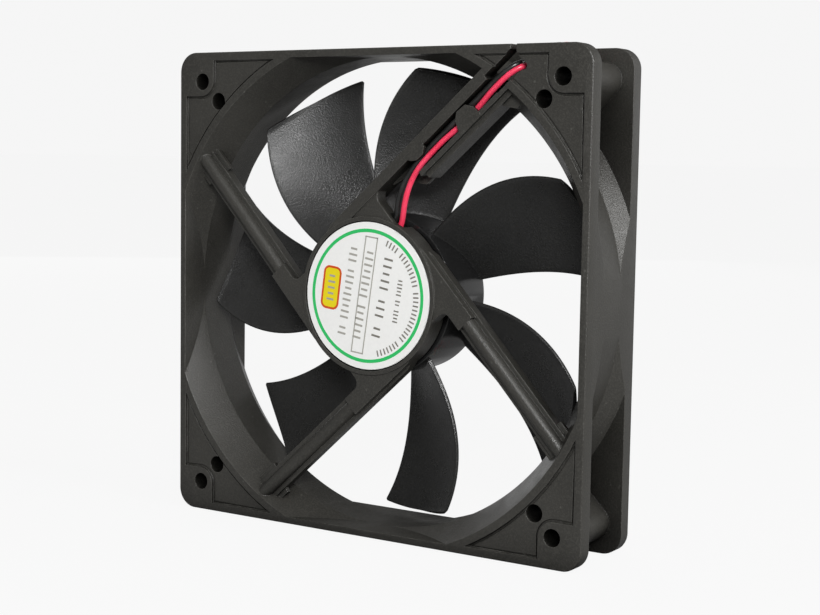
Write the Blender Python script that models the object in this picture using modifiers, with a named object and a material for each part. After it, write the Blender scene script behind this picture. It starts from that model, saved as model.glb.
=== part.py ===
"""A 120 mm brushless case fan with sleeve bearing and two leads, built as its separate pieces.

The fan stands on the bottom edge of its frame: X to the right, Y from the exhaust face to the
intake face, Z up, in metres. Its pieces are drawn in the fan's own frame, held by the empty
fan_axis: the origin is the middle of the fan on the shaft's axis, x to the right, y up and
z out of the exhaust face. Sizes below are in millimetres, and MM turns them into metres.
"""

import math

import bmesh
import bpy
import numpy as np
from mathutils import Matrix, Vector

MM = 0.001

# Frame
SIDE = 120.0  # width and height of the fan
DEPTH = 25.0  # exhaust face to intake face
CORNER_RADIUS = 5.0
FLANGE = 4.0  # thickness of each flange
HALF = SIDE / 2
FACE = DEPTH / 2  # z of the exhaust face, and minus z of the intake face
GAP_FACE = FACE - FLANGE  # z of a flange's inner face
THROAT_RADIUS = 58.3
THROAT_TOP = 4.7  # the throat is a cylinder up to here, then flares to the exhaust face
THROAT_BOTTOM = -5.0
EXHAUST_RADIUS = 63.0
INTAKE_RADIUS = 63.5
OPENING_HALF = 58.2  # the flares are cut square here, which leaves the frame's thin side walls
RING_RADIUS = 60.4  # outside of the ring between the flanges
RING_EDGE = 4.2  # its cylinder ends here, and a cone meets each flange
RING_CONE_RADIUS = 63.3
ROUND = 72  # segments of the frame's large circles

# Screw holes: the outer ones are the 105 mm square, the inner ones are 95 mm apart
HOLE_OUTER = 52.5
HOLE_INNER = 47.5
HOLE_RADIUS = 2.15
BOSS_RADIUS = 4.3

# Shallow recesses in the corners of the exhaust face
RECESS_DEPTH = 0.5
RECESS_EDGE = 57.9
RECESS_RADIUS = 64.8
PAD_EDGE = 48.8  # the raised pad round the screw holes starts here
PAD_FILLET = 4.0

# Motor base in the middle of the exhaust face
BASE_RADIUS = 19.4
BASE_OPEN_END = 7.0
BASE_INNER_RADIUS = 16.9
BASE_FLOOR_TOP = 11.8
BASE_FLOOR_BOTTOM = 10.2
LABEL_RECESS_RADIUS = 18.4
TUBE_HOLE_RADIUS = 4.7
LEAD_SLOT_ANGLE = 69.0
LEAD_SLOT_WIDTH = 5.0

# Struts, which leave the motor base along tangents
STRUT_ANGLES = (132.3, 222.3, 312.3)
STRUT_OFFSET = 17.3  # distance from the shaft's axis to a strut's middle line
RIB_RADIUS = 2.1
RIB_CENTRE = 10.2
RIB_STARTS = (15.5, 15.5, 8.0)  # where each strut's rib rises out of its web
STRUT_HALF_WIDTH = 2.9
STRUT_LOW = 7.6
STRUT_HIGH = 10.1
STRUT_END = 66.0
WEB_LOW = 8.4
WEB_HIGH = 12.0
WEB_END = 16.4
WEB_FILLET = 2.0
LUG_START = 53.0
LUG_HALF_WIDTH = 4.1

# Channel strut, which carries the leads to the notch in the exhaust flange
CHANNEL_ANGLE = 41.5
CHANNEL_FLOOR_LOW = 7.3
CHANNEL_FLOOR_HIGH = 8.5
CHANNEL_TOP = 12.4
CHANNEL_END = 66.0
LEFT_RAIL = (17.4, 20.1)  # distances from the shaft's axis across the channel
RIGHT_RAIL = (12.0, 13.2)
RIGHT_LEDGE = (10.8, 12.1)
RIGHT_LEDGE_TOP = 11.2
CHANNEL_WALL_LOW = 5.9  # the channel's side walls reach down past its floor
FIN = ((56.8, 11.4), (59.6, 7.9), (64.5, 7.9), (64.5, 11.4))
RIGHT_RAIL_START = 31.0
FLOOR_START = 27.5
CHANNEL_WEB_END = 17.4
CHANNEL_FILLET = 2.6
TAB_LOW = 11.4
NOTCH_SIDE = 18.4  # the notch is a little wider than the channel

# Impeller
BLADES = 7
TIP_RADIUS = 56.0
HUB_RADIUS = 20.0
HUB_INNER_RADIUS = 18.3
HUB_OPEN_END = 5.5
HUB_CLOSED_END = -11.5
HUB_FLOOR = -9.8
HUB_EDGE_RADIUS = 2.0
BLADE_ROOT = 19.1
BLADE_INTAKE = -9.5  # z of the leading edge
BLADE_CHORD_DEPTH = 12.0  # depth from leading edge to trailing edge
BLADE_THICKNESS = 2.2

# Motor
TUBE_RADIUS = 4.4
TUBE_BORE = 3.3
SHAFT_RADIUS = 1.5
BOARD_LOW = 6.9
BOARD_HIGH = 8.0
CORE_HIGH = 2.6
CORE_LOW = -3.4
POLES = 4

# Leads
LEAD_RADIUS = 0.7
LEAD_POINT_SPACING = 4.0
COIL_CENTRE = (39.5, 27.0)
COIL_INNER_RADIUS = 6.5
COIL_OUTER_RADIUS = 9.9
COIL_LOW = 0.9
COIL_HIGH = 5.1
TIE_ANGLE = 45.0

# Points of each lead's route in the fan's standing frame (X, Y, Z), from the circuit board
# through the channel and the notch, over the intake flange and down to the coil.
RED_ROUTE = (
    (5.2, -9.1, 72.2), (6.9, -9.1, 75.8), (8.3, -9.7, 78.7), (9.6, -10.8, 82.5), (10.9, -11.2, 86.3),
    (12.6, -11.3, 89.6), (15.1, -11.3, 92.8), (20.1, -10.9, 97.7), (24.7, -10.3, 101.5),
    (29.2, -10.3, 105.5), (33.5, -10.9, 109.6), (37.6, -10.8, 113.1), (40.3, -9.6, 114.9),
    (41.5, -7.2, 115.5), (41.9, -3.8, 116.5), (41.9, 0.0, 118.0), (41.9, 3.8, 119.6),
    (41.9, 6.9, 120.75), (41.9, 9.2, 121.1), (41.9, 11.9, 121.1), (41.9, 13.4, 120.7),
    (42.0, 14.5, 119.6), (42.0, 14.9, 118.1), (42.4, 14.9, 115.0), (44.4, 14.9, 108.5),
    (47.6, 14.9, 101.0), (50.6, 14.9, 93.0), (52.4, 14.9, 84.0), (52.7, 14.9, 75.0),
    (52.7, 14.9, 60.0), (52.6, 14.9, 40.0), (52.4, 14.9, 18.0), (52.3, 15.0, 8.0),
    (52.2, 15.3, 4.3), (52.1, 16.2, 2.2), (51.8, 17.8, 1.1), (51.1, 19.9, 0.85), (49.5, 22.4, 0.95),
)
BLACK_ROUTE = (
    (3.4, -9.1, 73.1), (5.0, -9.1, 76.7), (6.6, -9.6, 79.6), (7.6, -10.2, 83.6), (9.3, -10.4, 87.8),
    (12.5, -10.4, 92.2), (16.1, -10.35, 96.1), (20.6, -10.35, 100.1), (25.8, -10.3, 104.7),
    (31.1, -10.35, 109.4), (35.6, -10.4, 113.2), (38.4, -9.5, 115.3), (39.7, -7.3, 116.3),
    (40.1, -3.8, 117.4), (40.1, 0.0, 118.7), (40.1, 3.8, 119.9), (40.1, 6.9, 120.8),
    (40.1, 9.2, 121.1), (40.1, 11.9, 121.1), (40.1, 13.4, 120.7), (40.2, 14.5, 119.6),
    (40.2, 14.9, 118.1), (40.6, 14.9, 115.0), (42.6, 14.9, 108.0), (45.8, 14.9, 100.3),
    (48.8, 14.9, 92.3), (50.6, 14.9, 83.5), (50.9, 14.9, 75.0), (50.9, 14.9, 60.0),
    (50.8, 14.9, 40.0), (50.6, 14.9, 18.0), (50.5, 15.0, 8.0), (50.4, 15.3, 4.3),
    (50.2, 16.2, 2.2), (49.8, 17.7, 1.1), (49.3, 19.2, 0.85), (48.6, 20.8, 0.95),
)
RED_END_ROUTE = ((33.3, 36.0, 4.2), (30.6, 36.0, 3.4), (27.8, 36.0, 2.95))
BLACK_END_ROUTE = ((31.0, 34.0, 4.2), (29.5, 33.6, 3.6), (27.8, 33.5, 2.95))
PLUG_LENGTH = 9.8
PLUG_WIDTH = 7.4
PLUG_HEIGHT = 5.75
PLUG_ENTRY = 27.5  # X of the face where the leads go in
PLUG_MIDDLE = 34.75
PLUG_PITCH = 2.5


def clear_scene():
    for thing in list(bpy.data.objects):
        bpy.data.objects.remove(thing)


def new_collection(name):
    collection = bpy.data.collections.new(name)
    bpy.context.scene.collection.children.link(collection)
    return collection


clear_scene()
PARTS = new_collection("case_fan")
CUTTERS = new_collection("cutters")


def add_empty(name):
    """An empty on the shaft's axis, with its z axis out of the exhaust face."""
    empty = bpy.data.objects.new(name, None)
    PARTS.objects.link(empty)
    empty.location = (0, 0, HALF * MM)
    empty.rotation_euler = (math.radians(90), 0, 0)
    return empty


FAN_AXIS = add_empty("fan_axis")
ROTOR_AXIS = add_empty("rotor_axis")


def material(name, colour, roughness, metallic=0.0):
    made = bpy.data.materials.new(name)
    made.use_nodes = True
    shader = made.node_tree.nodes["Principled BSDF"]
    shader.inputs["Base Color"].default_value = (*colour, 1.0)
    shader.inputs["Roughness"].default_value = roughness
    shader.inputs["Metallic"].default_value = metallic
    made.diffuse_color = (*colour, 1.0)
    return made


def finish(name, data, parent=FAN_AXIS, look=None):
    """A piece of the fan, or a tool of a later Boolean when it is given no material."""
    piece = bpy.data.objects.new(name, data)
    piece.parent = parent
    if look is None:
        CUTTERS.objects.link(piece)
        piece.hide_render = True
        piece.display_type = "WIRE"
        return piece
    PARTS.objects.link(piece)
    data.materials.append(look)
    return piece


def combine(base, operation, tool):
    step = base.modifiers.new(tool.name, "BOOLEAN")
    step.operation = operation
    step.solver = "EXACT"
    step.object = tool


def arc(centre, radius, start, end, steps):
    """Points of an arc, with its angles in degrees."""
    points = []
    for i in range(steps + 1):
        angle = math.radians(start + (end - start) * i / steps)
        points.append((centre[0] + radius * math.cos(angle), centre[1] + radius * math.sin(angle)))
    return points


def rounded_rectangle(width, height, radius, steps=4):
    points = []
    for quarter, (side_x, side_y) in enumerate(((1, 1), (-1, 1), (-1, -1), (1, -1))):
        centre = (side_x * (width / 2 - radius), side_y * (height / 2 - radius))
        points += arc(centre, radius, 90 * quarter, 90 * quarter + 90, steps)
    return points


def turned_by(points, angle):
    """Points (along, across) of a strut's own frame, in the fan's frame."""
    c, s = math.cos(math.radians(angle)), math.sin(math.radians(angle))
    return [(x * c - y * s, x * s + y * c) for x, y in points]


def plate_mesh(name, loops, low, high):
    """A flat outline, with further loops as its holes, from z = low to z = high."""
    curve = bpy.data.curves.new(name, "CURVE")
    curve.dimensions = "2D"
    curve.fill_mode = "BOTH"
    curve.extrude = (high - low) / 2 * MM
    for loop in loops:
        spline = curve.splines.new("POLY")
        spline.points.add(len(loop) - 1)
        for point, (x, y) in zip(spline.points, loop, strict=True):
            point.co = (x * MM, y * MM, 0, 1)
        spline.use_cyclic_u = True
    guide = bpy.data.objects.new(name + "_outline", curve)
    CUTTERS.objects.link(guide)
    graph = bpy.context.evaluated_depsgraph_get()
    mesh = bpy.data.meshes.new_from_object(guide.evaluated_get(graph))
    bpy.data.objects.remove(guide)
    mesh.name = name
    mesh.transform(Matrix.Translation((0, 0, (high + low) / 2 * MM)))
    weld(mesh)
    return mesh


def weld(mesh):
    work = bmesh.new()
    work.from_mesh(mesh)
    bmesh.ops.remove_doubles(work, verts=work.verts, dist=1e-7)
    work.to_mesh(mesh)
    work.free()


def plate(name, loops, low, high, parent=FAN_AXIS, look=None):
    return finish(name, plate_mesh(name, loops, low, high), parent, look)


def turned(name, profile, segments, closed=False, parent=FAN_AXIS, look=None):
    """A solid of revolution about z: the profile (radius, z) runs down its outer side."""
    mesh = bpy.data.meshes.new(name)
    edges = [(i, i + 1) for i in range(len(profile) - 1)]
    if closed:
        edges.append((len(profile) - 1, 0))
    mesh.from_pydata([(r * MM, 0, z * MM) for r, z in profile], edges, [])
    piece = finish(name, mesh, parent, look)
    screw = piece.modifiers.new("turned", "SCREW")
    screw.steps = segments
    screw.render_steps = segments
    screw.use_merge_vertices = True
    screw.merge_threshold = 1e-6
    return piece


def ring(name, inner, outer, low, high, segments, parent=FAN_AXIS, look=None):
    profile = [(outer, high), (outer, low), (inner, low), (inner, high)]
    return turned(name, profile, segments, True, parent, look)


def disc(name, radius, low, high, segments, parent=FAN_AXIS, look=None):
    profile = [(0, high), (radius, high), (radius, low), (0, low)]
    return turned(name, profile, segments, False, parent, look)


def box_mesh(name, boxes):
    """Boxes (x, y, z, width, depth, height), each about its own middle, as separate bodies."""
    work = bmesh.new()
    for x, y, z, width, depth, height in boxes:
        place = Matrix.Translation((x * MM, y * MM, z * MM))
        size = Matrix.Diagonal((width * MM, depth * MM, height * MM, 1))
        bmesh.ops.create_cube(work, size=1.0, matrix=place @ size)
    mesh = bpy.data.meshes.new(name)
    work.to_mesh(mesh)
    work.free()
    return mesh


def rod_mesh(name, places, radius, low, high, segments):
    """Round rods along z at the given places, as separate bodies."""
    work = bmesh.new()
    for x, y in places:
        middle = Matrix.Translation((x * MM, y * MM, (low + high) / 2 * MM))
        bmesh.ops.create_cone(
            work,
            cap_ends=True,
            segments=segments,
            radius1=radius * MM,
            radius2=radius * MM,
            depth=(high - low) * MM,
            matrix=middle,
        )
    mesh = bpy.data.meshes.new(name)
    work.to_mesh(mesh)
    work.free()
    return mesh


# ---------------------------------------------------------------- frame


def throat_profile(extra):
    """Half section of the air passage, with its walls moved out by extra."""
    past = 1.5  # how far it runs past each face
    flare_up = (EXHAUST_RADIUS - THROAT_RADIUS) / (FACE - THROAT_TOP)
    flare_down = (INTAKE_RADIUS - THROAT_RADIUS) / (FACE + THROAT_BOTTOM)
    top, bottom = FACE + past, -FACE - past
    return [
        (0, top),
        (EXHAUST_RADIUS + flare_up * past + extra, top),
        (THROAT_RADIUS + extra, THROAT_TOP),
        (THROAT_RADIUS + extra, THROAT_BOTTOM),
        (INTAKE_RADIUS + flare_down * past + extra, bottom),
        (0, bottom),
    ]


def throat(name, extra):
    """The air passage as a tool: turned, and cut square where the frame's sides are thin."""
    tool = turned(name, throat_profile(extra), ROUND)
    width = 2 * (OPENING_HALF + extra)
    square = finish(name + "_square", box_mesh(name + "_square", [(0, 0, 0, width, width, 2 * DEPTH)]))
    combine(tool, "INTERSECT", square)
    return tool


def flange_gap():
    """The space round the ring, between the two flanges."""
    reach = SIDE
    profile = [
        (reach, GAP_FACE),
        (reach, -GAP_FACE),
        (RING_CONE_RADIUS, -GAP_FACE),
        (RING_RADIUS, -RING_EDGE),
        (RING_RADIUS, RING_EDGE),
        (RING_CONE_RADIUS, GAP_FACE),
    ]
    return turned("flange_gap", profile, ROUND, True)


def boss(quarter):
    """The oblong post round one pair of screw holes, from flange to flange."""
    inner, outer = HOLE_INNER * math.sqrt(2), HOLE_OUTER * math.sqrt(2)
    outline = arc((inner, 0), BOSS_RADIUS, 90, 270, 7) + arc((outer, 0), BOSS_RADIUS, -90, 90, 7)
    outline = turned_by(outline, 45 + 90 * quarter)
    return plate(f"boss_{quarter + 1}", [outline], -GAP_FACE - 0.3, GAP_FACE + 0.3)


def recess(quarter):
    """The shallow corner recess: it keeps a rim round the opening and a pad at the screw holes."""
    start = math.degrees(math.acos(RECESS_EDGE / RECESS_RADIUS))
    centre = (PAD_EDGE + PAD_FILLET, PAD_EDGE + PAD_FILLET)
    outline = arc((0, 0), RECESS_RADIUS, 90 - start, start, 10)
    outline += [(RECESS_EDGE, PAD_EDGE)]
    outline += arc(centre, PAD_FILLET, 270, 180, 4)
    outline += [(PAD_EDGE, RECESS_EDGE)]
    outline = turned_by(outline, 90 * quarter)
    return plate(f"recess_{quarter + 1}", [outline], FACE - RECESS_DEPTH, FACE + 1)


def web_outline(outer, inner, end, fillet):
    """The flat web between the motor base and a strut, in the strut's frame (along, across).

    The strut's outer edge is a tangent of the base, and the far side of the web is cut
    straight across at end, with a fillet to the strut and one to the base's circle."""
    middle = end + fillet
    reach = BASE_RADIUS + fillet
    touch = math.sqrt(reach**2 - middle**2)
    toward_base = math.degrees(math.atan2(-touch, -middle))
    outline = [(0, 5), (end - 0.5, 5)]
    outline += arc((middle, touch), fillet, 360 + toward_base, 180, 4)
    outline += arc((middle, inner - fillet), fillet, 180, 90, 4)
    outline += [(middle + 4, inner), (middle + 4, outer), (2, outer), (-4, BASE_RADIUS - 0.9)]
    return outline


def strut(number, angle):
    """A half-round rib on a wider bar, with the web at its foot and lugs at the ring."""
    name = f"strut_{number}"
    inner, outer = STRUT_OFFSET - STRUT_HALF_WIDTH, STRUT_OFFSET + STRUT_HALF_WIDTH
    bar = [(-4, BASE_RADIUS - 1.4), (4, outer), (STRUT_END, outer), (STRUT_END, inner), (8, inner)]
    body = plate(name, [turned_by(bar, angle)], STRUT_LOW, STRUT_HIGH)
    edge = STRUT_OFFSET + RIB_RADIUS + 0.3
    web = web_outline(edge, STRUT_OFFSET - RIB_RADIUS - 0.3, WEB_END, WEB_FILLET)
    combine(body, "UNION", plate(name + "_web", [turned_by(web, angle)], WEB_LOW, WEB_HIGH))
    lug_end = STRUT_END - 1
    lug = [
        (LUG_START, STRUT_OFFSET - LUG_HALF_WIDTH),
        (lug_end, STRUT_OFFSET - LUG_HALF_WIDTH),
        (lug_end, STRUT_OFFSET + LUG_HALF_WIDTH),
        (LUG_START + 1.5, STRUT_OFFSET + LUG_HALF_WIDTH),
    ]
    combine(body, "UNION", plate(name + "_lug", [turned_by(lug, angle)], WEB_LOW, STRUT_HIGH - 0.6))
    combine(body, "UNION", rib(name + "_rib", angle, RIB_STARTS[number - 1]))
    return body


def rib(name, angle, start):
    """The round bar along a strut's middle, with a round nose."""
    length = STRUT_END + 1 - start
    nose = [(y, x) for x, y in arc((-RIB_RADIUS, 0), RIB_RADIUS, 0, 90, 4)]
    profile = [*nose, (RIB_RADIUS, -length), (0, -length)]
    bar = turned(name, profile, 16)
    x, y = turned_by([(start, STRUT_OFFSET)], angle)[0]
    bar.location = (x * MM, y * MM, RIB_CENTRE * MM)
    bar.rotation_euler = (0, math.radians(-90), math.radians(angle))
    return bar


def channel():
    """The strut that carries the leads: a floor, two rails and the tabs that keep the leads in."""

    def part(name, outline, low, high):
        return plate(name, [turned_by(outline, CHANNEL_ANGLE)], low, high)

    def bar(name, start, end, across, low, high):
        near, far = across
        outline = [(start, near), (end, near), (end, far), (start, far)]
        return part(name, outline, low, high)

    near, far = RIGHT_LEDGE[0] + 0.3, LEFT_RAIL[1] - 0.3
    floor = [(FLOOR_START + 1.5, near), (CHANNEL_END, near), (CHANNEL_END, far), (FLOOR_START - 6, far)]
    floor += [(FLOOR_START - 6, LEFT_RAIL[0] - 0.3), (FLOOR_START - 1, LEFT_RAIL[0] - 1.5)]
    floor += [(FLOOR_START, near + 1.5)]
    body = part("channel", floor, CHANNEL_FLOOR_LOW, CHANNEL_FLOOR_HIGH)
    left_end = CHANNEL_END + 1
    left = [(-5, BASE_RADIUS - 1.2), (3, LEFT_RAIL[1]), (left_end, LEFT_RAIL[1])]
    left += [(left_end, LEFT_RAIL[0]), (8, LEFT_RAIL[0])]
    low, end = CHANNEL_WALL_LOW, CHANNEL_END
    combine(body, "UNION", part("left_rail", left, low, CHANNEL_TOP))
    rail = bar("right_rail", RIGHT_RAIL_START, end + 0.5, RIGHT_RAIL, low + 0.4, CHANNEL_TOP - 0.02)
    combine(body, "UNION", rail)
    ledge = bar("right_ledge", RIGHT_RAIL_START + 0.8, end - 0.5, RIGHT_LEDGE, low + 0.2, RIGHT_LEDGE_TOP)
    combine(body, "UNION", ledge)
    combine(body, "UNION", part("channel_fin", FIN, WEB_LOW, STRUT_HIGH))
    web = web_outline(LEFT_RAIL[1] - 0.2, LEFT_RAIL[0] + 0.2, CHANNEL_WEB_END, CHANNEL_FILLET)
    combine(body, "UNION", part("channel_web", web, WEB_LOW, WEB_HIGH))
    right_tab = [(45.4, 12.4), (52.6, 12.4), (52.2, 15.0), (50.9, 16.8), (48.0, 17.0), (46.4, 15.6)]
    combine(body, "UNION", part("right_tab", right_tab, TAB_LOW, CHANNEL_TOP + 0.05))
    left_tab = [(29.8, 18.6), (31.0, 16.6), (32.4, 15.7), (34.6, 15.7), (36.0, 16.8), (36.4, 18.6)]
    combine(body, "UNION", part("left_tab", left_tab, TAB_LOW, CHANNEL_TOP + 0.05))
    return body


def notch():
    """The cut where the leads leave the channel through the exhaust flange."""
    near = RIGHT_RAIL[1] - 0.2
    outline = [(59.0, near), (66.6, near), (67.8, 12.4), (68.5, 12.6), (68.9, 13.1)]
    outline += [(68.5, 15.7), (69.2, 17.6), (67.9, NOTCH_SIDE), (59.0, NOTCH_SIDE)]
    return plate("notch", [turned_by(outline, CHANNEL_ANGLE)], GAP_FACE - 0.3, FACE + 1)


def slit():
    """The narrow way from the notch to the frame's top edge."""
    outline = [(38.9, 56.9), (40.4, 56.9), (40.4, HALF + 1), (38.9, HALF + 1)]
    return plate("slit", [outline], GAP_FACE - 0.7, FACE + 1.5)


def spider():
    """The motor base with its struts, shaped at their ends to sink into the ring."""
    body = disc("motor_base", BASE_RADIUS, BASE_OPEN_END, FACE, 56)
    for number, angle in enumerate(STRUT_ANGLES, 1):
        combine(body, "UNION", strut(number, angle))
    combine(body, "UNION", channel())
    inside = disc("base_inside", BASE_INNER_RADIUS, BASE_OPEN_END - 1, BASE_FLOOR_BOTTOM, 40)
    combine(body, "DIFFERENCE", inside)
    combine(body, "DIFFERENCE", disc("label_recess", LABEL_RECESS_RADIUS, BASE_FLOOR_TOP, FACE + 1, 56))
    combine(body, "DIFFERENCE", disc("tube_hole", TUBE_HOLE_RADIUS, BASE_OPEN_END, FACE, 24))
    side = LEAD_SLOT_WIDTH / 2
    slot = [(12, -side), (21, -side), (21, side), (12, side)]
    slot = plate("lead_slot", [turned_by(slot, LEAD_SLOT_ANGLE)], BASE_OPEN_END - 1, BASE_FLOOR_BOTTOM + 0.4)
    combine(body, "DIFFERENCE", slot)
    combine(body, "INTERSECT", throat("spider_reach", 0.6))
    return body


def make_frame(look):
    outline = rounded_rectangle(SIDE, SIDE, CORNER_RADIUS, 6)
    frame = plate("frame", [outline], -FACE, FACE, look=look)
    combine(frame, "DIFFERENCE", flange_gap())
    combine(frame, "DIFFERENCE", throat("air_passage", 0))
    for quarter in range(4):
        combine(frame, "UNION", boss(quarter))
        combine(frame, "DIFFERENCE", recess(quarter))
    combine(frame, "UNION", spider())
    combine(frame, "DIFFERENCE", notch())
    combine(frame, "DIFFERENCE", slit())
    places = []
    for at in (HOLE_INNER, HOLE_OUTER):
        places += [(at, at), (-at, at), (-at, -at), (at, -at)]
    holes = finish("screw_holes", rod_mesh("screw_holes", places, HOLE_RADIUS, -FACE - 1, FACE + 1, 16))
    combine(frame, "DIFFERENCE", holes)
    return frame


# ---------------------------------------------------------------- impeller


def blade_point(across, along):
    """A point of the blade's middle surface: across runs from root to tip, along from intake
    to exhaust edge, both 0 to 1."""
    radius = BLADE_ROOT + across * (TIP_RADIUS - BLADE_ROOT)
    span = (radius - HUB_RADIUS) / (TIP_RADIUS - HUB_RADIUS)
    leading = 114.4 + 2.0 * span - 8.9 * span**2
    trailing = 153.4 - 4.2 * span - 15.0 * span**2
    leading += corner(radius, 1.0)
    trailing -= corner(radius, 1.5)
    angle = math.radians(leading + along * (trailing - leading))
    camber = 0.6 + 0.15 * span
    depth = BLADE_INTAKE + BLADE_CHORD_DEPTH * ((1 - camber) * along + camber * along**2)
    return Vector((radius * math.cos(angle), radius * math.sin(angle), depth))


def corner(radius, rounding):
    """How many degrees a rounded tip corner takes off the blade's edge at this radius."""
    past = max(0.0, radius - (TIP_RADIUS - rounding))
    lost = rounding - math.sqrt(max(0.0, rounding**2 - past**2))
    return math.degrees(lost / radius)


def blade_mesh(steps_across, steps_along):
    """The blade's middle surface, with its thickness as a weight on each point."""
    work = bmesh.new()
    bmesh.ops.create_grid(work, x_segments=steps_across, y_segments=steps_along, size=0.5)
    weights = work.verts.layers.deform.verify()
    for vert in work.verts:
        across = 1 - (0.5 - vert.co.x) ** 1.35  # closer rows near the tip
        along = vert.co.y + 0.5
        bulge = math.sin(math.pi * along) ** 0.6
        vert[weights][0] = (0.42 + 0.58 * bulge) * (1.0 - 0.42 * across)
        vert.co = blade_point(across, along) * MM
    bmesh.ops.reverse_faces(work, faces=work.faces)
    mesh = bpy.data.meshes.new("blade")
    work.to_mesh(mesh)
    work.free()
    return mesh


def make_impeller(look):
    edge = (HUB_RADIUS - HUB_EDGE_RADIUS, HUB_CLOSED_END + HUB_EDGE_RADIUS)
    profile = [(0, -10.7), (1.8, -10.7), (1.8, -6.5), (3.5, -6.5), (3.5, HUB_FLOOR)]
    profile += [(HUB_INNER_RADIUS, HUB_FLOOR), (HUB_INNER_RADIUS, HUB_OPEN_END), (HUB_RADIUS, HUB_OPEN_END)]
    profile += arc(edge, HUB_EDGE_RADIUS, 0, -90, 4) + [(0, HUB_CLOSED_END)]
    impeller = turned("impeller", profile, 42, parent=ROTOR_AXIS, look=look)
    mesh = blade_mesh(6, 7)
    for number in range(BLADES):
        blade = finish(f"blade_{number + 1}", mesh, ROTOR_AXIS)
        blade.rotation_euler.z = math.radians(360 / BLADES * number)
        blade.vertex_groups.new(name="thickness")
        solid = blade.modifiers.new("thickness", "SOLIDIFY")
        solid.thickness = BLADE_THICKNESS * MM
        solid.offset = 0
        solid.vertex_group = "thickness"
        combine(impeller, "UNION", blade)
    return impeller


# ---------------------------------------------------------------- motor


def make_bearing(brass, bronze, nylon, rubber):
    tube = [(TUBE_RADIUS, 11.5), (TUBE_RADIUS, 9.9), (5.8, 9.9), (5.8, 9.3), (TUBE_RADIUS, 9.3)]
    tube += [(TUBE_RADIUS, -5.4), (TUBE_BORE, -5.4), (TUBE_BORE, 11.5)]
    turned("bearing_tube", tube, 24, True, look=brass)
    sleeve = [(2.7, 8.0), (3.0, 7.7), (3.0, -4.7), (2.7, -5.0)]
    sleeve += [(2.05, -5.0), (1.75, -4.7), (1.75, 7.7), (2.05, 8.0)]
    turned("sleeve_bearing", sleeve, 24, True, look=bronze)
    disc("bearing_cap", 3.0, 10.8, 11.4, 24, look=rubber)
    ring("thrust_washer", 1.8, 2.9, 8.3, 8.7, 24, ROTOR_AXIS, nylon)
    ring("oil_ring", 1.8, 3.0, -6.2, -5.7, 24, ROTOR_AXIS, rubber)


def make_shaft(steel):
    groove_low, groove_high, groove_radius = 8.95, 9.6, 1.05
    profile = [(0, 10.4), (1.2, 10.4), (SHAFT_RADIUS, 10.1), (SHAFT_RADIUS, groove_high)]
    profile += [(groove_radius, groove_high), (groove_radius, groove_low), (SHAFT_RADIUS, groove_low)]
    profile += [(SHAFT_RADIUS, -10.1), (1.2, -10.4), (0, -10.4)]
    turned("shaft", profile, 24, parent=ROTOR_AXIS, look=steel)
    opening = 50
    clip = arc((0, 0), 2.5, opening, 360 - opening, 14) + arc((0, 0), 1.3, 360 - opening, opening, 14)
    plate("shaft_clip", [clip], 9.1, 9.45, ROTOR_AXIS, steel)


def make_rotor(steel, ferrite):
    cup = [(18.0, 4.9), (18.0, -9.5), (3.8, -9.5), (3.8, -8.5), (17.0, -8.5), (17.0, 4.9)]
    turned("rotor_yoke", cup, 42, True, ROTOR_AXIS, steel)
    ring("ring_magnet", 15.0, 16.7, -5.4, 4.6, 42, ROTOR_AXIS, ferrite)


def pole_outline(hub, half_width, shoe_inner, shoe_outer, shoe_angle):
    """A round hub with four T-shaped poles."""
    outline = []
    foot = math.degrees(math.asin(half_width / hub))
    neck = math.degrees(math.asin(half_width / shoe_inner))
    for pole in range(POLES):
        turn = 360 / POLES * pole
        outline += arc((0, 0), hub, turn - 360 / POLES + foot, turn - foot, 3)
        outline += arc((0, 0), shoe_inner, turn - neck, turn - shoe_angle, 2)
        outline += arc((0, 0), shoe_outer, turn - shoe_angle, turn + shoe_angle, 6)
        outline += arc((0, 0), shoe_inner, turn + shoe_angle, turn + neck, 2)
    return outline


def make_stator(iron, plastic, copper, tin):
    bore = arc((0, 0), TUBE_HOLE_RADIUS, 0, 345, 23)
    core = pole_outline(7.0, 1.6, 12.6, 14.4, 36)
    plate("stator_core", [core, bore], CORE_LOW, CORE_HIGH, look=iron)
    insulator = pole_outline(7.5, 2.2, 12.2, 13.8, 28)
    plate("bobbin_upper", [insulator, bore], CORE_HIGH + 0.3, CORE_HIGH + 1.6, look=plastic)
    plate("bobbin_lower", [insulator, bore], CORE_LOW - 1.6, CORE_LOW - 0.3, look=plastic)
    inside = (5.2, CORE_HIGH - CORE_LOW + 3.8)
    outside = (7.6, inside[1] + 2.2)
    loops = [rounded_rectangle(*outside, 1.2, 3), rounded_rectangle(*inside, 0.3, 1)]
    winding = plate_mesh("winding", loops, 7.9, 11.2)
    winding.transform(Matrix.Rotation(math.radians(90), 4, "Y") @ Matrix.Rotation(math.radians(90), 4, "Z"))
    winding.transform(Matrix.Translation((0, 0, (CORE_HIGH + CORE_LOW) / 2 * MM)))
    winding.materials.append(copper)
    for pole in range(POLES):
        coil = bpy.data.objects.new(f"winding_{pole + 1}", winding)
        PARTS.objects.link(coil)
        coil.parent = FAN_AXIS
        coil.rotation_euler.z = math.radians(360 / POLES * pole)
    pin_mesh = rod_mesh("winding_pin", [(13.0, 2.6)], 0.35, CORE_HIGH + 1.9, BOARD_LOW - 0.3, 8)
    pin_mesh.materials.append(tin)
    for pole in range(POLES):
        pin = bpy.data.objects.new(f"winding_pin_{pole + 1}", pin_mesh)
        PARTS.objects.link(pin)
        pin.parent = FAN_AXIS
        pin.rotation_euler.z = math.radians(360 / POLES * pole)


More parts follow.
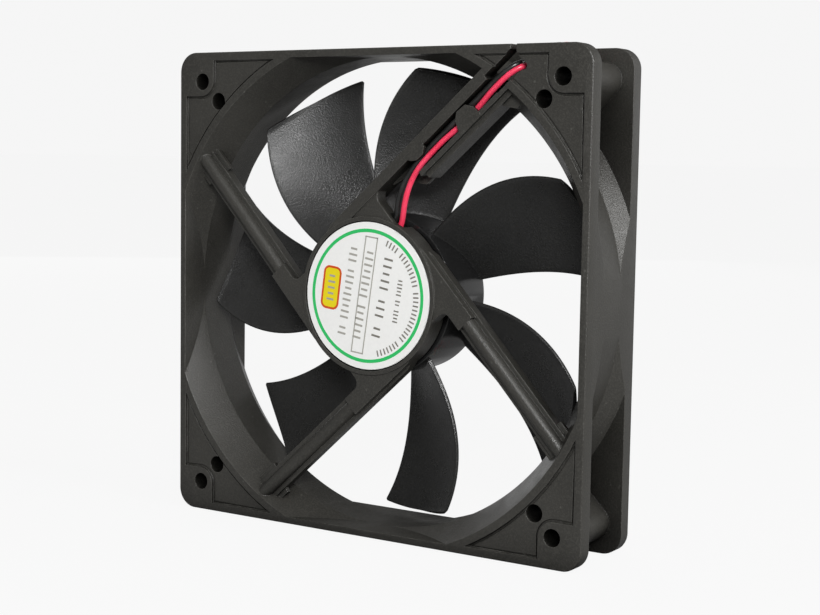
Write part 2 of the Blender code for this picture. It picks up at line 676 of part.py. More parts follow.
def make_circuit(board, chip, ceramic, resistor):
    ring("circuit_board", 4.8, 16.0, BOARD_LOW, BOARD_HIGH, 48, look=board)
    under = BOARD_LOW - 0.3  # components hang on the side that faces the rotor
    parts = (
        ("hall_sensor", 45, (13.6, 0, 3.0, 4.0, 0.9), chip),
        ("driver_chip", 135, (10.8, 0, 4.0, 5.0, 0.9), chip),
        ("capacitor", 225, (11.0, 0, 1.6, 3.2, 0.9), ceramic),
        ("resistor_1", 315, (10.4, 1.6, 1.2, 2.0, 0.5), resistor),
        ("resistor_2", 315, (10.4, -1.6, 1.2, 2.0, 0.5), resistor),
    )
    for name, angle, (x, y, wide, deep, tall), look in parts:
        piece = finish(name, box_mesh(name, [(x, y, under - tall / 2, wide, deep, tall)]), look=look)
        piece.rotation_euler.z = math.radians(angle)


def make_label(look):
    disc("label", 18.1, 12.1, 12.4, 48, look=look)


# ---------------------------------------------------------------- leads


def smooth_route(points, spacing):
    """Points about spacing apart on the smooth curve through the route's own points."""
    given = np.array(points, float)
    ends = np.vstack([2 * given[0] - given[1], given, 2 * given[-1] - given[-2]])
    fine = []
    for a, b, c, d in zip(ends, ends[1:], ends[2:], ends[3:]):
        for t in np.linspace(0, 1, 12, endpoint=False):
            bend = (2 * a - 5 * b + 4 * c - d) * t**2 + (3 * b - a - 3 * c + d) * t**3
            fine.append((2 * b + (c - a) * t + bend) / 2)
    fine = np.array([*fine, given[-1]])
    along = np.concatenate([[0], np.cumsum(np.linalg.norm(np.diff(fine, axis=0), axis=1))])
    marks = np.linspace(0, along[-1], max(3, round(along[-1] / spacing) + 1))
    return np.stack([np.interp(marks, along, fine[:, k]) for k in range(3)], axis=1)


def make_lead(name, route, spacing, look):
    curve = bpy.data.curves.new(name, "CURVE")
    curve.dimensions = "3D"
    curve.bevel_depth = LEAD_RADIUS * MM
    curve.bevel_resolution = 2
    curve.use_fill_caps = True
    points = smooth_route(route, spacing)
    spline = curve.splines.new("POLY")
    spline.points.add(len(points) - 1)
    for point, place in zip(spline.points, points, strict=True):
        point.co = (*(place * MM), 1)
    finish(name, curve, None, look)


def make_coil(look, tie_look):
    """The outer shape of the wound stretch of both leads, and the tie round its turns."""
    coil = ring("lead_coil", COIL_INNER_RADIUS, COIL_OUTER_RADIUS, COIL_LOW, COIL_HIGH, 40, None, look)
    coil.location = (COIL_CENTRE[0] * MM, COIL_CENTRE[1] * MM, 0)
    wide, tall = COIL_OUTER_RADIUS - COIL_INNER_RADIUS, COIL_HIGH - COIL_LOW
    outside = rounded_rectangle(wide + 1.6, tall + 1.6, 1.2, 3)
    loops = [outside, rounded_rectangle(wide + 0.7, tall + 0.7, 0.8, 3)]
    tie = finish("coil_tie", plate_mesh("coil_tie", loops, -1.25, 1.25), None, tie_look)
    angle = math.radians(TIE_ANGLE)
    middle = (COIL_INNER_RADIUS + COIL_OUTER_RADIUS) / 2
    x, y = COIL_CENTRE[0] + middle * math.cos(angle), COIL_CENTRE[1] + middle * math.sin(angle)
    tie.location = (x * MM, y * MM, (COIL_HIGH + COIL_LOW) / 2 * MM)
    tie.rotation_euler = (math.radians(90), 0, angle)


def make_plug(shell, tin):
    """A two-way socket housing with a crimped contact for each lead."""
    middle = (PLUG_ENTRY - PLUG_LENGTH / 2, PLUG_MIDDLE, 0.1 + PLUG_HEIGHT / 2)
    shell_box = box_mesh("plug_housing", [(*middle, PLUG_LENGTH, PLUG_WIDTH, PLUG_HEIGHT)])
    housing = finish("plug_housing", shell_box, None, shell)
    wells = []
    for side, name in ((-0.5, "plug_contact_black"), (0.5, "plug_contact_red")):
        y = PLUG_MIDDLE + side * PLUG_PITCH
        wells.append((middle[0], y, middle[2], PLUG_LENGTH + 2, 1.9, 1.9))
        contact = (middle[0] + 0.4, y, middle[2], PLUG_LENGTH - 2.4, 1.3, 1.3)
        finish(name, box_mesh(name, [contact]), None, tin)
    combine(housing, "DIFFERENCE", finish("plug_wells", box_mesh("plug_wells", wells), None))


def main():
    black = material("frame_plastic", (0.045, 0.043, 0.040), 0.45)
    blade = material("impeller_plastic", (0.030, 0.030, 0.031), 0.38)
    steel = material("steel", (0.55, 0.56, 0.57), 0.35, 1.0)
    brass = material("brass", (0.70, 0.52, 0.24), 0.35, 1.0)
    bronze = material("sintered_bronze", (0.50, 0.36, 0.20), 0.60, 1.0)
    ferrite = material("ferrite", (0.06, 0.055, 0.055), 0.70)
    iron = material("stator_iron", (0.35, 0.35, 0.36), 0.50, 1.0)
    copper = material("copper_wire", (0.72, 0.30, 0.12), 0.35, 1.0)
    nylon = material("nylon", (0.85, 0.84, 0.78), 0.50)
    rubber = material("rubber", (0.03, 0.03, 0.03), 0.75)
    tin = material("tinned_metal", (0.75, 0.75, 0.72), 0.30, 1.0)
    board = material("board", (0.05, 0.22, 0.10), 0.45)
    chip = material("chip", (0.02, 0.02, 0.02), 0.50)
    ceramic = material("ceramic", (0.55, 0.42, 0.28), 0.50)
    paper = material("label_print", (0.88, 0.88, 0.86), 0.40)
    red = material("red_insulation", (0.85, 0.07, 0.12), 0.35)
    dark = material("black_insulation", (0.02, 0.02, 0.02), 0.30)
    white = material("white_plastic", (0.85, 0.84, 0.80), 0.45)
    make_frame(black)
    make_impeller(blade)
    make_bearing(brass, bronze, nylon, rubber)
    make_shaft(steel)
    make_rotor(steel, ferrite)
    make_stator(iron, white, copper, tin)
    make_circuit(board, chip, ceramic, chip)
    make_label(paper)
    make_lead("lead_red", RED_ROUTE, LEAD_POINT_SPACING, red)
    make_lead("lead_black", BLACK_ROUTE, LEAD_POINT_SPACING, dark)
    make_lead("lead_red_end", RED_END_ROUTE, 2.0, red)
    make_lead("lead_black_end", BLACK_END_ROUTE, 2.0, dark)
    make_coil(dark, white)
    make_plug(white, tin)


main()
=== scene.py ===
# Studio scene of a 120 mm case fan.
#
# Everything stands in the fan's own frame, in metres: X right, Y from the exhaust face to the
# intake face, Z up. The shaft lies along Y through (0, 0, 0.060). The frame and the impeller are
# rebuilt with finer curves, rounded edges and the moulding's small details. They are modelled
# with the shaft along Z and the fan's middle at the origin, in millimetres, and FAN_MATRIX
# stands them up.

import math

import bmesh
import bpy
import numpy as np
from mathutils import Matrix, Vector


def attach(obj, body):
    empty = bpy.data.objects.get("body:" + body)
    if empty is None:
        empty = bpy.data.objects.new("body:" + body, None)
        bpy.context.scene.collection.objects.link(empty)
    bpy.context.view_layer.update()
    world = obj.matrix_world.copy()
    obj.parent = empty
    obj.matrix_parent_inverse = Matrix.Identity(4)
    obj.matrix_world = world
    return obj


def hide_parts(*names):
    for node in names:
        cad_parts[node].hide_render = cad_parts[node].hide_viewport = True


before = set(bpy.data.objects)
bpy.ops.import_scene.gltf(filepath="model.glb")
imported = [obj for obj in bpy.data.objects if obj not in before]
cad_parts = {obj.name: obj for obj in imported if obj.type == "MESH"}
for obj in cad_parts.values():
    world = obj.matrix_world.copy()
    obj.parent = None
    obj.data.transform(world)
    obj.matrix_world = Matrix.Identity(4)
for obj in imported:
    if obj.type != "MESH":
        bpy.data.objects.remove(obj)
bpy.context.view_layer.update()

MM = 0.001
HALF = 60.0  # half the fan's width and height
FACE = 12.5  # half its depth


def turn(angle, axis):
    return Matrix.Rotation(math.radians(angle), 4, axis)


FAN_MATRIX = Matrix.Translation((0, 0, HALF * MM)) @ turn(90, "X")
COLLECTION = bpy.context.scene.collection


def add_object(name, data):
    piece = bpy.data.objects.new(name, data)
    COLLECTION.objects.link(piece)
    return piece


# ------------ camera

CAMERA_AZIMUTH = 33.02
CAMERA_ELEVATION = 5.48
CAMERA_ROLL = 0.92
CAMERA_TARGET = (0.00462, 0, 0.0566)
CAMERA_DISTANCE = 0.3927
CAMERA_LENS = 69.12


def add_camera():
    data = bpy.data.cameras.new("camera")
    data.lens = CAMERA_LENS
    data.sensor_width = 36
    data.clip_start = 0.01
    camera = add_object("camera", data)
    place = Matrix.Translation(CAMERA_TARGET) @ turn(CAMERA_AZIMUTH, "Z")
    place @= turn(90 - CAMERA_ELEVATION, "X") @ turn(CAMERA_ROLL, "Z")
    camera.matrix_world = place @ Matrix.Translation((0, 0, CAMERA_DISTANCE))
    bpy.context.scene.camera = camera


# ------------ leads

LEAD_DIAMETER = 0.0014
RED_ROUTE = (
    (0.0052, -0.0091, 0.0722), (0.0069, -0.0091, 0.0758), (0.0083, -0.0097, 0.0787),
    (0.0096, -0.0108, 0.0825), (0.0109, -0.0112, 0.0863), (0.0126, -0.0113, 0.0896),
    (0.0151, -0.0113, 0.0928), (0.0201, -0.0109, 0.0977), (0.0247, -0.0103, 0.1015),
    (0.0292, -0.0103, 0.1055), (0.0335, -0.0109, 0.1096), (0.0376, -0.0108, 0.1131),
    (0.0403, -0.0096, 0.1149), (0.0415, -0.0072, 0.1155), (0.0419, -0.0038, 0.1165),
    (0.0419, 0.0000, 0.1180), (0.0419, 0.0038, 0.1196), (0.0419, 0.0069, 0.12075),
    (0.0419, 0.0092, 0.1211), (0.0419, 0.0119, 0.1211), (0.0419, 0.0134, 0.1207),
    (0.0420, 0.0145, 0.1196), (0.0420, 0.0149, 0.1181), (0.0424, 0.0149, 0.1150),
    (0.0444, 0.0149, 0.1085), (0.0476, 0.0149, 0.1010), (0.0506, 0.0149, 0.0930),
    (0.0524, 0.0149, 0.0840), (0.0527, 0.0149, 0.0750), (0.0527, 0.0149, 0.0600),
    (0.0526, 0.0149, 0.0400), (0.0524, 0.0149, 0.0180), (0.0523, 0.0150, 0.0080),
    (0.0522, 0.0153, 0.0043), (0.0521, 0.0162, 0.0022), (0.0518, 0.0178, 0.0011),
    (0.0511, 0.0199, 0.00085), (0.0495, 0.0224, 0.00095), (0.0489, 0.0245, 0.00095),
)
BLACK_ROUTE = (
    (0.0034, -0.0091, 0.0731), (0.0050, -0.0091, 0.0767), (0.0066, -0.0096, 0.0796),
    (0.0076, -0.0102, 0.0836), (0.0093, -0.0104, 0.0878), (0.0125, -0.0104, 0.0922),
    (0.0161, -0.01035, 0.0961), (0.0206, -0.01035, 0.1001), (0.0258, -0.0103, 0.1047),
    (0.0311, -0.01035, 0.1094), (0.0356, -0.0104, 0.1132), (0.0384, -0.0095, 0.1153),
    (0.0397, -0.0073, 0.1163), (0.0401, -0.0038, 0.1174), (0.0401, 0.0000, 0.1187),
    (0.0401, 0.0038, 0.1199), (0.0401, 0.0069, 0.1208), (0.0401, 0.0092, 0.1211),
    (0.0401, 0.0119, 0.1211), (0.0401, 0.0134, 0.1207), (0.0402, 0.0145, 0.1196),
    (0.0402, 0.0149, 0.1181), (0.0406, 0.0149, 0.1150), (0.0426, 0.0149, 0.1080),
    (0.0458, 0.0149, 0.1003), (0.0488, 0.0149, 0.0923), (0.0506, 0.0149, 0.0835),
    (0.0509, 0.0149, 0.0750), (0.0509, 0.0149, 0.0600), (0.0508, 0.0149, 0.0400),
    (0.0506, 0.0149, 0.0180), (0.0505, 0.0150, 0.0080), (0.0504, 0.0153, 0.0043),
    (0.0502, 0.0162, 0.0022), (0.0498, 0.0177, 0.0011), (0.0493, 0.0192, 0.00085),
    (0.0486, 0.0208, 0.00095), (0.0478, 0.0228, 0.0009), (0.0472, 0.0247, 0.0009),
)
# Where each lead leaves the coil for the plug
RED_TAIL = (
    (0.0365, 0.0360, 0.0043), (0.0333, 0.0360, 0.0041), (0.0306, 0.0360, 0.0034),
    (0.0290, 0.0360, 0.0030), (0.0270, 0.0360, 0.0030),
)
BLACK_TAIL = (
    (0.0355, 0.0345, 0.0043), (0.0325, 0.0343, 0.0041), (0.0302, 0.0337, 0.0034),
    (0.0288, 0.0335, 0.0030), (0.0270, 0.0335, 0.0030),
)
COIL_CENTRE = (0.0395, 0.0270)
COIL_START = math.radians(8)
COIL_HEIGHT = 0.0010
COIL_RISE = 0.0015  # of each turn
COIL_TURNS = 2.25
RED_COIL_RADIUS = 0.00895
BLACK_COIL_RADIUS = 0.00745


def coil_points(radius):
    """Turns of one lead, which climb all the way by about a lead's thickness each."""
    points = []
    steps = int(COIL_TURNS * 24)
    for i in range(steps + 1):
        turn = COIL_TURNS * i / steps
        angle = COIL_START + (COIL_TURNS * math.tau - COIL_START) * i / steps
        x = COIL_CENTRE[0] + radius * math.cos(angle)
        y = COIL_CENTRE[1] + radius * math.sin(angle)
        points.append((x, y, COIL_HEIGHT + COIL_RISE * turn))
    return points


def smooth_route(points, spacing):
    """Points about spacing apart on the smooth curve through the route's own points."""
    given = np.array(points, float)
    ends = np.vstack([2 * given[0] - given[1], given, 2 * given[-1] - given[-2]])
    fine = []
    for a, b, c, d in zip(ends, ends[1:], ends[2:], ends[3:]):
        for t in np.linspace(0, 1, 12, endpoint=False):
            bend = (2 * a - 5 * b + 4 * c - d) * t**2 + (3 * b - a - 3 * c + d) * t**3
            fine.append((2 * b + (c - a) * t + bend) / 2)
    fine = np.array([*fine, given[-1]])
    along = np.concatenate([[0], np.cumsum(np.linalg.norm(np.diff(fine, axis=0), axis=1))])
    marks = np.linspace(0, along[-1], max(3, round(along[-1] / spacing) + 1))
    return np.stack([np.interp(marks, along, fine[:, k]) for k in range(3)], axis=1)


def new_curve(name, dimensions, lines, cyclic):
    curve = bpy.data.curves.new(name, "CURVE")
    curve.dimensions = dimensions
    for line in lines:
        spline = curve.splines.new("POLY")
        spline.points.add(len(line) - 1)
        for point, place in zip(spline.points, line, strict=True):
            point.co = (*place, 1)
        spline.use_cyclic_u = cyclic
    return curve


def work_on(curve, merge):
    """The curve as a bmesh, with its caps welded on."""
    guide = add_object(curve.name, curve)
    graph = bpy.context.evaluated_depsgraph_get()
    mesh = bpy.data.meshes.new_from_object(guide.evaluated_get(graph))
    bpy.data.objects.remove(guide)
    work = bmesh.new()
    work.from_mesh(mesh)
    bpy.data.meshes.remove(mesh)
    bmesh.ops.remove_doubles(work, verts=work.verts, dist=merge)
    return work


def mesh_of(work, name):
    """The bmesh's work, done, as a mesh."""
    mesh = bpy.data.meshes.new(name)
    work.to_mesh(mesh)
    work.free()
    return mesh


def tube(name, points, radius, cyclic=False, resolution=5):
    """A round tube along the points, in metres."""
    curve = new_curve(name, "3D", [points], cyclic)
    curve.bevel_depth = radius
    curve.bevel_resolution = resolution
    curve.use_fill_caps = True
    work = work_on(curve, 1e-6)
    bmesh.ops.recalc_face_normals(work, faces=work.faces)
    return add_object(name, mesh_of(work, name))


def add_lead(name, route, *nodes):
    points = smooth_route(route, 0.0008)
    lead = tube(name, points, LEAD_DIAMETER / 2)
    lead.data.shade_smooth()
    lead.data.set_sharp_from_angle(angle=math.radians(50))
    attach(lead, "fan_frame")
    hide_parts(*nodes)
    return lead, points


def add_leads():
    red_route = [*RED_ROUTE, *coil_points(RED_COIL_RADIUS), *RED_TAIL]
    black_route = [*BLACK_ROUTE, *coil_points(BLACK_COIL_RADIUS), *BLACK_TAIL]
    red = add_lead("red_lead", red_route, "lead_red", "lead_coil", "lead_red_end")
    black = add_lead("black_lead", black_route, "lead_black", "lead_black_end")
    return *red, *black


add_camera()
RED_LEAD, RED_POINTS, BLACK_LEAD, BLACK_POINTS = add_leads()


# ------------ materials


class Nodes:
    """Short calls for building a material's nodes."""

    def __init__(self, name):
        self.material = bpy.data.materials.new(name)
        self.material.use_nodes = True
        self.tree = self.material.node_tree
        self.shader = self.tree.nodes["Principled BSDF"]
        self.place = self.add("ShaderNodeTexCoord").outputs["Object"]

    def add(self, kind, inputs=None, **settings):
        node = self.tree.nodes.new(kind)
        for key, value in settings.items():
            setattr(node, key, value)
        for key, value in (inputs or {}).items():
            self.fill(node.inputs[key], value)
        return node

    def fill(self, socket, value):
        if isinstance(value, bpy.types.NodeSocket):
            self.tree.links.new(value, socket)
        else:
            socket.default_value = value

    def set(self, name, value):
        """One of the surface's own values, or what drives it."""
        self.fill(self.shader.inputs[name], value)

    def noise(self, scale, detail, roughness, place=None):
        inputs = {"Vector": place or self.place, "Scale": scale, "Detail": detail}
        inputs["Roughness"] = roughness
        return self.add("ShaderNodeTexNoise", inputs).outputs["Fac"]

    def ramp(self, value, low, high, to_low=0.0, to_high=1.0):
        inputs = {"Value": value, "From Min": low, "From Max": high}
        inputs |= {"To Min": to_low, "To Max": to_high}
        node = self.add("ShaderNodeMapRange", inputs, interpolation_type="SMOOTHSTEP")
        return node.outputs["Result"]

    def math(self, operation, a, b):
        return self.add("ShaderNodeMath", {0: a, 1: b}, operation=operation).outputs[0]

    def mix(self, amount, a, b):
        a, b = ((*c, 1.0) if isinstance(c, tuple) else c for c in (a, b))
        inputs = {"Factor": amount, 6: a, 7: b}
        return self.add("ShaderNodeMix", inputs, data_type="RGBA").outputs[2]

    def specks(self, scale, size):
        """Small round spots scattered over the surface, 1 inside a spot."""
        cells = self.add("ShaderNodeTexVoronoi", {"Vector": self.place, "Scale": scale})
        near = self.ramp(cells.outputs["Distance"], size, size * 0.5)
        some = self.add("ShaderNodeSeparateColor", {0: cells.outputs["Color"]})
        return self.math("MULTIPLY", near, self.math("GREATER_THAN", some.outputs[0], 0.8))

    def bump(self, height, distance, strength=1.0, normal=None):
        inputs = {"Height": height, "Distance": distance, "Strength": strength}
        if normal:
            inputs["Normal"] = normal
        return self.add("ShaderNodeBump", inputs).outputs["Normal"]

    def rounded(self, radius):
        return self.add("ShaderNodeBevel", {"Radius": radius}, samples=6).outputs["Normal"]

    def openness(self, distance):
        """How much of the space within distance is free: 1 on a flat face, low inside a hole."""
        node = self.add("ShaderNodeAmbientOcclusion", {"Distance": distance}, samples=6)
        return node.outputs["AO"]

    def upward(self):
        """How far the surface faces up, 1 on a level top."""
        normal = self.add("ShaderNodeTexCoord").outputs["Normal"]
        return self.add("ShaderNodeSeparateXYZ", {0: normal}).outputs["Z"]

    def edges(self, rounded):
        """1 along the edges, from how far the rounded normal leans away from the surface's own."""
        own = self.add("ShaderNodeNewGeometry").outputs["Normal"]
        dot = self.add("ShaderNodeVectorMath", {0: rounded, 1: own}, operation="DOT_PRODUCT")
        return self.ramp(dot.outputs["Value"], 0.985, 0.80)


def scaled(colour, factor):
    return tuple(c * factor for c in colour)


def moulded_plastic(name, colour, wear_and_highlight_colour, roughness, grain, radius, speck, specular, shade):
    """Black moulded plastic: fine grain, cloudy gloss, paler edges that are partly wear and
    partly a painted highlight, corners and holes darkened as painted shade, a little dust,
    and level tops dulled by a film of it. Grain is the height of the bumps, radius that of the
    rounded edges, and shade how far the painted shade reaches, all in millimetres."""
    n = Nodes(name)
    cloud = n.noise(45, 3, 0.6)
    patch = n.noise(260, 3, 0.65)
    fine = n.noise(2600, 2, 0.6)
    round_normal = n.rounded(radius * MM)
    # Edges are paler: partly wear, partly a painted highlight along the rims.
    wear_and_highlight = n.math("MULTIPLY", n.edges(round_normal), n.ramp(patch, 0.35, 0.62, 0.25, 1.0))
    base = n.mix(n.ramp(cloud, 0.3, 0.7), colour, scaled(colour, 1.22))
    base = n.mix(n.ramp(fine, 0.42, 0.68, 0.0, 0.5), base, scaled(colour, 2.2))
    base = n.mix(wear_and_highlight, base, wear_and_highlight_colour)
    dust = n.math("MULTIPLY", n.specks(420, 0.16), speck)
    base = n.mix(dust, base, (0.30, 0.30, 0.27))
    # Corners, grooves and holes are darkened by how enclosed they are, down to 0.12 of the colour:
    # painted shade.
    open_sky = n.openness(shade * MM)
    base = n.mix(n.ramp(open_sky, 0.14, 0.74), scaled(colour, 0.12), base)
    n.set("Base Color", base)
    rough = n.ramp(cloud, 0.3, 0.7, roughness - 0.05, roughness + 0.05)
    rough = n.math("ADD", rough, n.ramp(patch, 0.3, 0.7, -0.04, 0.04))
    top = n.upward()
    rough = n.math("ADD", rough, n.ramp(top, 0.74, 0.94, 0.0, 0.34))
    n.set("Roughness", rough)
    # The gloss is lowered the same way in hollows: painted shade on the reflections.
    gloss = n.ramp(open_sky, 0.14, 0.74, 0.05 * specular, specular)
    gloss = n.math("MULTIPLY", gloss, n.ramp(top, 0.74, 0.94, 1.0, 0.2))
    n.set("Specular IOR Level", gloss)
    n.set("Normal", n.bump(fine, grain * MM, 1.0, round_normal))
    return n.material


def wire_insulation(name, colour, roughness):
    n = Nodes(name)
    cloud = n.noise(180, 3, 0.6)
    fine = n.noise(1900, 2, 0.5)
    pale = tuple(min(1.0, c * 1.25 + 0.01) for c in colour)
    n.set("Base Color", n.mix(n.ramp(cloud, 0.35, 0.7), colour, pale))
    n.set("Roughness", n.ramp(cloud, 0.3, 0.7, roughness - 0.05, roughness + 0.08))
    n.set("Normal", n.bump(fine, 0.012 * MM))
    n.set("Coat Weight", 0.25)
    n.set("Coat Roughness", 0.18)
    return n.material


def metal(name, colour, roughness, streak=(1, 1, 1), specks=0.0):
    """Drawn, turned or sintered metal: streaks follow the axis with the smallest factor."""
    n = Nodes(name)
    stretched = n.add("ShaderNodeMapping", {"Vector": n.place, "Scale": streak})
    lines = n.noise(2200, 2, 0.6, stretched.outputs["Vector"])
    cloud = n.noise(150, 3, 0.6)
    dark = scaled(colour, 0.72)
    base = n.mix(n.ramp(cloud, 0.3, 0.7), colour, dark)
    base = n.mix(n.ramp(lines, 0.5, 0.75, 0.0, 0.4), base, dark)
    if specks:
        pores = n.math("MULTIPLY", n.specks(2500, 0.3), specks)
        base = n.mix(pores, base, scaled(colour, 0.3))
    n.set("Base Color", base)
    n.set("Metallic", 1.0)
    n.set("Roughness", n.ramp(lines, 0.3, 0.7, roughness - 0.07, roughness + 0.1))
    n.set("Normal", n.bump(lines, 0.006 * MM, 1.0, n.rounded(0.08 * MM)))
    return n.material


def plain_plastic(name, colour, roughness, radius=0.12, translucent=0.0):
    n = Nodes(name)
    cloud = n.noise(220, 3, 0.6)
    fine = n.noise(2400, 2, 0.5)
    n.set("Base Color", n.mix(n.ramp(cloud, 0.3, 0.7), colour, scaled(colour, 0.88)))
    n.set("Roughness", n.ramp(cloud, 0.3, 0.7, roughness - 0.06, roughness + 0.08))
    n.set("Normal", n.bump(fine, 0.008 * MM, 1.0, n.rounded(radius * MM)))
    n.set("Subsurface Weight", translucent)
    n.set("Subsurface Scale", 0.0006)
    return n.material


def printed(name, colour, roughness=0.42):
    """Ink or coated paper: slight mottling and a faint waviness."""
    n = Nodes(name)
    cloud = n.noise(90, 3, 0.6)
    fine = n.noise(1500, 3, 0.6)
    base = n.mix(n.ramp(fine, 0.35, 0.7, 0.0, 0.5), colour, scaled(colour, 0.93))
    base = n.mix(n.ramp(cloud, 0.3, 0.7, 0.0, 0.5), base, scaled(colour, 0.96))
    n.set("Base Color", base)
    n.set("Roughness", n.ramp(cloud, 0.3, 0.7, roughness - 0.06, roughness + 0.08))
    n.set("Normal", n.bump(cloud, 0.05 * MM, 0.6))
    return n.material


def winding_copper(name):
    """Enamelled wire laid side by side, as fine ridges across the block."""
    n = Nodes(name)
    inputs = {"Vector": n.place, "Scale": 900, "Distortion": 1.5, "Detail": 1}
    wave = n.add("ShaderNodeTexWave", inputs, wave_type="BANDS", bands_direction="DIAGONAL")
    lines = wave.outputs["Fac"]
    n.set("Base Color", n.mix(lines, (0.28, 0.08, 0.025), (0.80, 0.34, 0.13)))
    n.set("Metallic", 0.9)
    n.set("Roughness", n.ramp(lines, 0, 1, 0.5, 0.25))
    n.set("Normal", n.bump(lines, 0.06 * MM))
    return n.material


# The colour given for each moulded plastic's edges is partly wear and partly a painted highlight;
# shade is how far the painted shade in hollows reaches, in millimetres.
FRAME_LOOK = moulded_plastic(
    "frame_plastic", (0.031, 0.0298, 0.0262), wear_and_highlight_colour=(0.12, 0.117, 0.106), roughness=0.36,
    grain=0.08, radius=0.32, speck=0.12, specular=0.5, shade=24,
)
BLADE_LOOK = moulded_plastic(
    "blade_plastic", (0.018, 0.018, 0.0175), wear_and_highlight_colour=(0.035, 0.035, 0.034), roughness=0.31,
    grain=0.10, radius=0.12, speck=0.0, specular=0.5, shade=4,
)
HUB_LOOK = moulded_plastic(
    "hub_plastic", (0.012, 0.012, 0.012), wear_and_highlight_colour=(0.04, 0.04, 0.039), roughness=0.16,
    grain=0.006, radius=0.25, speck=0.0, specular=0.75, shade=4,
)
RED_LOOK = wire_insulation("red_insulation", (0.95, 0.045, 0.11), 0.40)
BLACK_LOOK = wire_insulation("black_insulation", (0.014, 0.014, 0.014), 0.28)
PAPER_LOOK = printed("label_paper", (0.95, 0.95, 0.93), 0.40)
GREEN_LOOK = printed("label_green", (0.025, 0.56, 0.14))
YELLOW_LOOK = printed("label_yellow", (0.87, 0.72, 0.008))
ORANGE_LOOK = printed("label_red", (0.68, 0.085, 0.008))
INK_LOOK = printed("label_ink", (0.20, 0.19, 0.165))
PALE_INK_LOOK = printed("label_pale_ink", (0.40, 0.39, 0.35))


# ------------ sizes, in millimetres

# Frame
CORNER_RADIUS = 5.0
OUTER_EDGE = 0.38  # rounding of the frame's outer edges
FLANGE = 4.0  # thickness of each flange
GAP_FACE = FACE - FLANGE  # z of a flange's inner face
THROAT_RADIUS = 58.3
THROAT_TOP = 4.7  # the throat is a cylinder up to here, then flares to the exhaust face
THROAT_BOTTOM = -5.0
EXHAUST_RADIUS = 63.0
INTAKE_RADIUS = 63.5
OPENING_HALF = 58.2  # the flares are cut square here, which leaves the frame's thin side walls
RING_RADIUS = 60.4  # outside of the ring between the flanges
RING_EDGE = 4.2  # its cylinder ends here, and a cone meets each flange
RING_CONE_RADIUS = 63.3
# Screw holes: the outer ones are the 105 mm square, the inner ones are 95 mm apart
HOLE_OUTER = 52.5
HOLE_INNER = 47.5
HOLE_RADIUS = 2.15
BOSS_RADIUS = 4.3

# Shallow recesses in the corners of the exhaust face
RECESS_DEPTH = 0.5
RECESS_EDGE = 57.9
RECESS_RADIUS = 64.8
PAD_EDGE = 48.8  # the raised pad round the screw holes starts here
PAD_FILLET = 4.0
GROOVE_RADIUS = 0.34
GROOVE_INSET = GROOVE_RADIUS + 0.02  # of the groove's middle from the recess's edge
GROOVE_RISE = 0.03  # of its middle over the recess

# Motor base in the middle of the exhaust face
BASE_RADIUS = 19.4
BASE_OPEN_END = 7.0
BASE_INNER_RADIUS = 16.9
BASE_FLOOR_TOP = 11.8
BASE_FLOOR_BOTTOM = 10.2
LABEL_RECESS_RADIUS = 18.4
TUBE_HOLE_RADIUS = 4.7
LEAD_SLOT_ANGLE = 69.0
LEAD_SLOT_WIDTH = 5.0

# Struts, which leave the motor base along tangents
STRUT_ANGLES = (132.3, 222.3, 312.3)
STRUT_OFFSET = 17.3  # distance from the shaft's axis to a strut's middle line
STRUT_SIDES = (STRUT_OFFSET - 2.9, STRUT_OFFSET + 2.9)
WEB_SIDES = (STRUT_OFFSET - 2.4, STRUT_OFFSET + 2.4)  # of the web where it runs into a strut
LUG_SIDES = (STRUT_OFFSET - 4.1, STRUT_OFFSET + 4.1)
RIB_RADIUS = 1.8
RIB_CENTRE = 10.2
RIB_STARTS = (15.5, 15.5, 8.0)  # where each strut's rib rises out of its web
STRUT_LOW = 7.6
STRUT_HIGH = 10.1
STRUT_END = 66.0
WEB_LOW = 8.4
WEB_HIGH = 12.0
WEB_END = 16.4
WEB_FILLET = 2.0
LUG_START = 53.0

# Channel strut, which carries the leads to the notch in the exhaust flange
CHANNEL_ANGLE = 41.5
CHANNEL_FLOOR_LOW = 7.3
CHANNEL_FLOOR_HIGH = 8.5
CHANNEL_TOP = 12.4
CHANNEL_END = 66.0
LEFT_RAIL = (17.4, 20.1)  # distances from the shaft's axis across the channel
RIGHT_RAIL = (12.0, 13.2)
RIGHT_LEDGE = (10.8, 12.1)
RIGHT_LEDGE_TOP = 11.2
CHANNEL_WALL_LOW = 5.9  # the channel's side walls reach down past its floor
FIN = ((56.8, 11.4), (59.6, 7.9), (64.5, 7.9), (64.5, 11.4))
RIGHT_RAIL_START = 31.0
FLOOR_START = 27.5
CHANNEL_WEB_END = 17.4
CHANNEL_FILLET = 2.6
TAB_LOW = 11.4
NOTCH_SIDE = 18.4  # the notch is a little wider than the channel

# Impeller
BLADES = 7
TIP_RADIUS = 56.0
HUB_RADIUS = 20.0
HUB_INNER_RADIUS = 18.3
HUB_OPEN_END = 5.5
HUB_CLOSED_END = -11.5
HUB_FLOOR = -9.8
HUB_EDGE_RADIUS = 2.0
BLADE_ROOT = 19.1
BLADE_INTAKE = -9.5  # z of the leading edge
BLADE_CHORD_DEPTH = 12.0  # depth from leading edge to trailing edge
BLADE_THICKNESS = 2.2
# Angles of a blade's edges in degrees: at the hub, and their change by span and span squared
LEADING_EDGE = (114.4, 2.0, -8.9)
TRAILING_EDGE = (153.4, -4.2, -15.0)
LEADING_CORNER = 0.5  # radius at the tip
TRAILING_CORNER = 0.6
SHAFT_HOLE_RADIUS = 1.8
SHAFT_HOLE_END = -10.7
HUB_POST_RADIUS = 3.5
HUB_POST_END = -6.5

